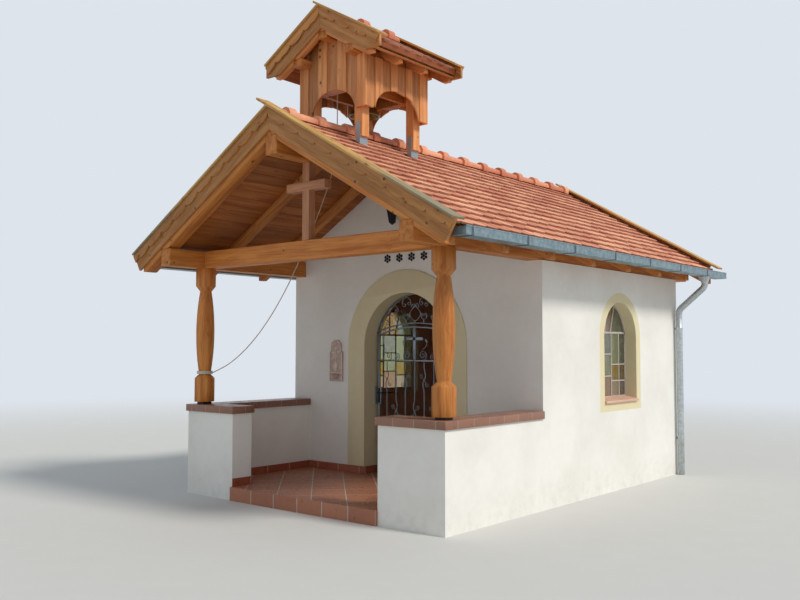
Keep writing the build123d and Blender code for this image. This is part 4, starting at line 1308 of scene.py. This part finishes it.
def bentBar(shape, x, bends, low, high, steps=64):
    # an upright bar with bends, and at each bend a collar and two curls
    points = []
    for step in range(steps + 1):
        z = low + (high - low) * step / steps
        push = 0.0
        for middle, hand in bends:
            part = math.pi * (z - middle) / gate["bendHalf"]
            if abs(part) < math.pi:
                push += hand * gate["bend"] * math.sin(part) * math.cos(part / 2)
        points.append((x + push, z))
    wire(shape, points, gate["bar"])
    half, tall = gate["collar"]
    out, rise, radius = gate["curl"]
    for middle, hand in bends:
        stretchBox(shape, (x - half, gate["y"] - half, middle - tall),
                   (x + half, gate["y"] + half, middle + tall), 0.003)
        for up in bothSides:
            side = up * hand
            curl = spiral((x + side * out, middle - up * rise), radius,
                          math.atan2(rise * up, -side * out), 1.35, side)
            wire(shape, [(x, middle)] + curl, gate["thin"] * 0.9,
                 [1.0] + [1.0 - 0.35 * step / 26 for step in range(27)])


def makeGate():
    shape = bmesh.new()
    left, right, thick, low = (gate[key] for key in ("left", "right", "frame", "bottom"))
    rail, thin = gate["midRail"], gate["thin"]
    flatArc(shape, gate["sideTop"], gate["middleTop"], thick * 0.6, left, right)
    for x in (left, right - thick):
        slab(shape, x, x + thick, low, arcTop(x) - 0.006)
    slab(shape, left, right, low, low + thick)
    slab(shape, left, right, rail - gate["railHalf"], rail + gate["railHalf"])
    gap = (right - left) / (gate["bars"] + 1)
    for number in range(1, gate["bars"] + 1):
        x, hand = left + number * gap, 1 if number % 4 in (1, 2) else -1
        bends = list(zip(gate["bends"], (hand, -hand)))
        if number % 2 == 0:
            bends = [(gate["middleBend"], hand)]
        bentBar(shape, x, bends, low + 0.01, rail)
        knob(shape, x, low + thick + 0.012, 0.012)
    middle = left + gap * (gate["bars"] + 1) / 2
    half, arm = gate["cross"], gate["middleTop"] - gate["crossDrop"]
    slab(shape, middle - half, middle + half, rail, arcTop(middle) - 0.01)
    slab(shape, middle - gate["crossArm"], middle + gate["crossArm"], arm - half, arm + half)
    leaf = bmesh.new()
    bmesh.ops.create_uvsphere(leaf, u_segments=12, v_segments=8, radius=1)
    bmesh.ops.scale(leaf, vec=gateTop["leafSize"], verts=leaf.verts)
    leaf = meshOf(leaf)
    down = math.radians(-90)
    for side in bothSides:
        x, up, radius = gateTop["scroll"]
        wire(shape, spiral((middle + side * x, rail + up), radius, down, 1.7, side, 44),
             thin * 1.1)
        x, drop, lean = gateTop["leaf"]
        place = Matrix.Translation((middle + side * x, gate["y"], arm - drop))
        stamp(shape, leaf, place @ Matrix.Rotation(-side * math.radians(lean), 4, "Y"))
        x, drop = gateTop["stemTop"]
        stem = [(middle + side * out, rail + up) for out, up in gateTop["stem"]]
        wire(shape, stem + [(middle + side * x, arm - drop)], thin * 0.8)
        for x, radius in gateTop["small"]:
            wire(shape, spiral((middle + side * x, rail + radius + 0.006), radius, down, 1.5,
                               -side, 36))
        x, drop = gateTop["tallTop"]
        tall = [(middle + side * out, rail + up) for out, up in gateTop["tall"]]
        wire(shape, tall + [(middle + side * x, arcTop(x) - drop)])
    for height in gate["hingeLevels"]:
        rod(shape, gate["barrel"], gate["barrelHigh"],
            (gate["hinge"], gate["y"], height + gate["barrelHigh"] / 2), 20)
        slab(shape, right - 0.015, gate["hinge"], height + 0.002, height + 0.048, inset=0.004)
    lockLow, lockHigh = gate["lock"]
    y, deep = gate["y"], gate["lockDeep"]
    stretchBox(shape, (left + 0.004, y - deep, lockLow), (left + 0.060, y + deep, lockHigh),
               0.003, 2)
    finishPiece("gateLeaf", shape, galvanised, "galvanised_iron", "gate_leaf", body="gate",
                smooth=50)
    handles = bmesh.new()
    for side in bothSides:
        face = y + side * deep
        plate = sorted((face, face + side * 0.003))
        stretchBox(handles, (left + 0.016, plate[0], lockLow + 0.014),
                   (left + 0.048, plate[1], lockHigh - 0.014), 0.001)
        lever = [(left + x, face + side * out, z) for x, out, z in gate["lever"]]
        stamp(handles, curveMesh(lever, gate["leverRadius"]))
    finishPiece("gateHandles", handles, blackIron, "galvanised_iron", body="gate")


fanlight = {"lift": 0.024, "arcLift": 0.02, "middleLift": 0.044, "bar": 0.014, "half": 0.586,
            "scroll": 0.064, "scrollAngles": (-62, -38, -14.5, 14.5, 38, 62), "inset": 0.088,
            "knobAngles": (-50, -26, 26, 50), "knobInset": 0.034, "heartLow": 1.925,
            "heartHigh": 0.19, "heartHalf": 0.074, "curl": (0.028, 0.018, 0.033),
            "feet": ((0.13, 0.042), (0.27, 0.036)), "foot": 0.04, "footHalf": 0.006,
            "middleLow": 0.03, "middleHigh": 1.93}


def makeFanlight():
    shape = bmesh.new()
    half, steps, thin = chapel["doorHalf"], 56, fanlight["footHalf"]
    centre = (0, chapel["doorSpring"])
    low = gate["sideTop"] + fanlight["lift"]
    start = math.asin((low - centre[1]) / half)
    arc = [start + (math.pi - 2 * start) * step / steps for step in range(steps + 1)]
    ring = [onCircle(centre, half * 0.9995, angle) for angle in arc]
    ring += [onCircle(centre, half - fanlight["bar"], angle) for angle in reversed(arc)]
    outlineSolid(shape, ring, gate["y"] - gate["deep"], gate["y"] + gate["deep"], 0.0015)
    flatArc(shape, low + fanlight["arcLift"], gate["middleTop"] + fanlight["middleLift"],
            fanlight["bar"], -fanlight["half"], fanlight["half"])
    for angle in fanlight["scrollAngles"]:
        turn = math.radians(90 - angle)
        spot = onCircle(centre, half - fanlight["inset"], turn)
        cScroll(shape, spot, fanlight["scroll"], turn + math.pi)
    for angle in fanlight["knobAngles"]:
        spot = onCircle(centre, half - fanlight["knobInset"], math.radians(90 - angle))
        knob(shape, *spot, 0.010)
    for side in bothSides:
        heart = []
        for step in range(41):
            part = step / 40
            bulge = math.sin(math.pi * min(1.0, part * 1.15)) ** 0.8
            heart.append((side * (0.004 + fanlight["heartHalf"] * bulge),
                          fanlight["heartLow"] + fanlight["heartHigh"] * part))
        x, z = heart[-1]
        out, drop, radius = fanlight["curl"]
        curl = spiral((x + side * out, z - drop), radius, math.atan2(drop, -side * out), 1.2,
                      -side, 24)
        wire(shape, heart)
        wire(shape, heart[-1:] + curl)
        for x, radius in fanlight["feet"]:
            foot, top = arcTop(x) + fanlight["middleLift"], fanlight["foot"]
            slab(shape, side * x - thin, side * x + thin, foot - thin, foot + top, 0.0015, 0.004)
            cScroll(shape, (side * x, foot + top + radius), radius, math.radians(90))
    knob(shape, 0, fanlight["middleHigh"], 0.013)
    slab(shape, -thin, thin, gate["middleTop"] + fanlight["middleLow"], fanlight["middleHigh"],
         0.0015, 0.004)
    finishPiece("fanlight", shape, galvanised, "galvanised_iron", "gate_fanlight", smooth=50)


makeGate()
makeFanlight()
softened("gate_hinges", "gateHinges", galvanised, "galvanised_iron", 0.001)
print("iron work ready")


# windows: panes between lead bars in an iron frame

window = {"x": 1.650, "glass": 0.005, "bar": 0.014, "depth": 0.022, "frame": 0.022,
          "headBar": 1.795, "headWide": 1.6, "columns": (0.0, 0.226, 0.548, 0.79, 1.0),
          "headSplits": (0.387, 0.60), "low": 0.05, "frameLow": 0.045, "steps": 28}
windowRows = (  # heights of the bars in each column, and the colour of each pane from below
    ((1.232, 1.424, 1.648), ((236, 208, 166), (214, 178, 52), (198, 208, 148), (190, 200, 144))),
    ((1.289, 1.545), ((230, 184, 140), (202, 206, 150), (180, 184, 158))),
    ((1.232, 1.424), ((238, 214, 176), (218, 182, 56), (196, 206, 150))),
    # painted shade: the rear column repeats the colours of the column before it, darker and greyer
    ((1.232, 1.424), ((150, 146, 130), (150, 130, 66), (124, 128, 96))),
)
headColors = ((196, 150, 62), (206, 156, 78), (160, 168, 140))


def archAt(y, inset=0.0):
    away = y - chapel["windowY"]
    rise = (chapel["windowHalf"] - inset) ** 2 - away * away
    return chapel["windowSpring"] + math.sqrt(max(0.0, rise))


def windowParts():
    # outlines in Y and Z: the panes with their colours, and the bars between them
    wide, front = 2 * chapel["windowHalf"], chapel["windowY"] - chapel["windowHalf"]
    low, head, rear = chapel["windowBottom"] + window["low"], window["headBar"], front + wide
    bars, glass = [], []
    edges = [front + part * wide for part in window["columns"]]
    for index, (heights, colors) in enumerate(windowRows):
        y0, y1 = edges[index], edges[index + 1]
        levels = [low, *heights, head]
        for z0, z1, color in zip(levels, levels[1:], colors):
            glass.append(([(y0, z0), (y1, z0), (y1, z1), (y0, z1)], color))
        bars += [(y0, z, y1, z) for z in heights]
        if index:
            bars.append((y0, low, y0, head))
    first, second = (front + part * wide for part in window["headSplits"])
    bars += [(front, head, rear, head), (first, head, first, archAt(first)),
             (second - 0.06, head, second + 0.05, archAt(second + 0.05))]
    for y0, y1, color in zip((front, first, second), (first, second, rear), headColors):
        arch = [y1 - (y1 - y0) * step / 12 for step in range(13)]
        glass.append(([(y0, head), (y1, head)] + [(y, max(head, archAt(y, 0.004)))
                                                 for y in arch], color))
    return bars, glass


def windowPane(shape, layer, outline, color, x):
    verts = [shape.verts.new((x, y, z)) for y, z in outline]
    bmesh.ops.remove_doubles(shape, verts=verts, dist=0.0002)
    verts = [vert for vert in verts if vert.is_valid]
    verts += pushed(shape, [shape.faces.new(verts)], (window["glass"], 0, 0))
    for vert in verts:
        for face in vert.link_faces:
            face[layer] = tone(*color)


def frameMesh():
    # the flat band round the glass, with its arch at the origin
    low = chapel["windowBottom"] + window["frameLow"] - chapel["windowSpring"]
    loops = []
    for inset, foot in ((0.0, low), (window["frame"], low + window["frame"])):
        half = chapel["windowHalf"] - inset
        arc = [onCircle((0, 0), half, math.pi * step / window["steps"])
               for step in range(window["steps"] + 1)]
        loops.append([(half, foot), *arc, (-half, foot)])
    ring, hole = loops
    band = bmesh.new()
    for index in range(len(ring)):
        corners = (ring[index - 1], ring[index], hole[index], hole[index - 1])
        band.faces.new([band.verts.new((0, *corner)) for corner in corners])
    bmesh.ops.remove_doubles(band, verts=band.verts, dist=0.0001)
    pushed(band, list(band.faces), (window["depth"], 0, 0))
    return meshOf(band)


def makeWindows():
    bars, glass = windowParts()
    paneShape, frameShape, deep = bmesh.new(), bmesh.new(), window["depth"] / 2
    layer = paneShape.faces.layers.float_color.new("paneColor")
    band = frameMesh()
    for side in bothSides:
        x = side * window["x"]
        for outline, color in glass:
            windowPane(paneShape, layer, outline, color, x - window["glass"] / 2)
        for y0, z0, y1, z1 in bars:
            run = Vector((0, y1 - y0, z1 - z0))
            half = window["bar"] / 2 * (window["headWide"] if z0 == z1 == window["headBar"] else 1)
            piece = meshFrom(stretchBox, (-deep, 0, -half), (deep, run.length, half), 0.002)
            turn = Matrix.Rotation(math.atan2(run.z, run.y), 4, "X")
            stamp(frameShape, piece, Matrix.Translation((x, y0, z0)) @ turn)
        stamp(frameShape, band, Matrix.Translation(
            (x - deep, chapel["windowY"], chapel["windowSpring"])))
    finishPiece("windowPanes", paneShape, panes, "leaded_glass", "window_glass", smooth=0)
    finishPiece("windowBars", frameShape, lead, "black_iron", smooth=0)


makeWindows()
print("windows ready")


# bell, yoke and clapper

bell = {"rim": 4.130, "y": -0.695, "steps": 72, "lugs": (-0.020, 0.012), "lugWide": 0.008,
        "lugDeep": 0.015, "lugLow": 4.345, "lugHigh": 4.392, "pinZ": 4.362, "pin": 0.005,
        "pinLength": 0.044, "profile": (
    (0.154, 0.0), (0.170, 0.0), (0.169, 0.012), (0.162, 0.026), (0.1555, 0.034), (0.1545, 0.042),
    (0.1475, 0.052), (0.138, 0.078), (0.1265, 0.108), (0.1165, 0.138), (0.110, 0.168),
    (0.1085, 0.176), (0.1085, 0.182), (0.1055, 0.186), (0.1015, 0.204), (0.098, 0.222),
    (0.090, 0.240), (0.074, 0.2545), (0.050, 0.263), (0.035, 0.270), (0.0, 0.270),
    (0.0, 0.252), (0.040, 0.250), (0.080, 0.228), (0.092, 0.200), (0.098, 0.160),
    (0.112, 0.108), (0.130, 0.060), (0.146, 0.024))}


def spun(profile, steps):
    # a closed outline of radius and height, turned once round
    shape = bmesh.new()
    verts = [shape.verts.new((radius, 0, z)) for radius, z in profile]
    edges = [shape.edges.new(pair) for pair in zip(verts, verts[1:] + verts[:1])]
    bmesh.ops.spin(shape, geom=verts + edges, cent=(0, 0, 0), axis=(0, 0, 1),
                   angle=math.radians(360), steps=steps, use_merge=True, use_duplicate=False)
    bmesh.ops.remove_doubles(shape, verts=shape.verts, dist=0.00002)
    loose = [edge for edge in shape.edges if not edge.link_faces]
    bmesh.ops.delete(shape, geom=loose, context="EDGES")
    return meshOf(shape)


def makeBell():
    y = bell["y"]
    shape = stamped(spun(bell["profile"], bell["steps"]),
                    (Matrix.Translation((0, y, bell["rim"])),))
    for x in bell["lugs"]:
        stretchBox(shape, (x, y - bell["lugDeep"], bell["lugLow"]),
                   (x + bell["lugWide"], y + bell["lugDeep"], bell["lugHigh"]), 0.0015)
    rod(shape, bell["pin"], bell["pinLength"], (0, y, bell["pinZ"]), 16, "Y")
    finishPiece("bellBody", shape, bronze, "bell_bronze", "bell", body="bell_and_yoke")
    softened("bell_yoke", "bellYoke", blackIron, "black_iron", 0.003, 2, body="bell_and_yoke")
    softened("clapper", "clapperRod", blackIron, "black_iron", 0.0012, body="bell_clapper")
    softened("bell_bearings", "bellBearings", blackIron, "black_iron", 0.002)


makeBell()
print("bell ready")


# small things on the walls and the posts

plaque = {"middle": -1.067, "half": 0.105, "low": 1.214, "shoulder": 1.569, "face": -0.022,
          "rim": 0.014, "proud": 0.007, "archZ": 1.627, "archHalf": 0.084, "sill": 1.312,
          "lip": 1.438, "lipHalf": 0.022, "lipProud": 0.004, "jug": 1.44,
          "stems": ((-0.042, 1.560), (0.0, 1.610), (0.040, 1.570))}


def raisedBand(shape, points, wide, y0, y1):
    # a flat band that follows a line on the wall
    for (x0, z0), (x1, z1) in zip(points, points[1:]):
        run, over = Vector((x1 - x0, 0, z1 - z0)), wide * 0.3
        piece = meshFrom(stretchBox, (-over, y0, -wide / 2), (run.length + over, y1, wide / 2),
                         0.002)
        turn = Matrix.Rotation(-math.atan2(run.z, run.x), 4, "Y")
        stamp(shape, piece, Matrix.Translation((x0, 0, z0)) @ turn)


def makePlaque():
    # a raised rim and a plain jug with three stems in it
    shape = bmesh.new()
    middle, rim, face, jug = (plaque[key] for key in ("middle", "rim", "face", "jug"))
    y0, y1 = face - plaque["proud"], face + 0.002
    side, arch = plaque["half"] - rim / 2, plaque["archHalf"] - rim / 2
    shoulder = plaque["shoulder"] - rim / 2
    line = [(middle - side, plaque["low"] + rim / 2), (middle - side, shoulder),
            (middle - arch, shoulder), (middle - arch, plaque["archZ"])]
    line += [onCircle((middle, plaque["archZ"]), arch, math.pi * (12 - step) / 12)
             for step in range(1, 13)]
    line += [(2 * middle - x, z) for x, z in reversed(line[:3])]
    raisedBand(shape, line, rim, y0, y1)
    for half, z, wide in ((side, plaque["sill"], rim), (plaque["lipHalf"], plaque["lip"], 0.012)):
        raisedBand(shape, [(middle - half, z), (middle + half, z)], wide,
                   y0 - plaque["lipProud"], y1)
    flatBall(shape, middle, face, 1.400, 0.040, 0.45)
    flatBall(shape, middle, face, 1.352, 0.024, 0.5)
    for lean, top in plaque["stems"]:
        stem = [(middle + lean * part * part, jug + (top - jug) * part)
                for part in (0.0, 0.25, 0.5, 0.75, 1.0)]
        raisedBand(shape, stem, 0.007, y0, y1)
        flatBall(shape, middle + lean, face, top, 0.020, 0.5)
        for hand in bothSides:
            flatBall(shape, middle + lean * 0.3 + hand * 0.016, face, (jug + top) / 2, 0.012, 0.5)
    finishPiece("plaqueRelief", shape, reliefLight, "painted_relief", smooth=40)


makePlaque()
# the lantern is the CAD node itself, cleaned and painted
finishPiece("wallLantern", nodeShape("wall_lantern"), blackIron, "black_iron", "wall_lantern")
paint("rope_guide", blackIron)
paint("rope_hitch", ropeYarn)
paint("post_shoes", footIron)
paint("holy_water_plaque", relief)
print("small things ready")
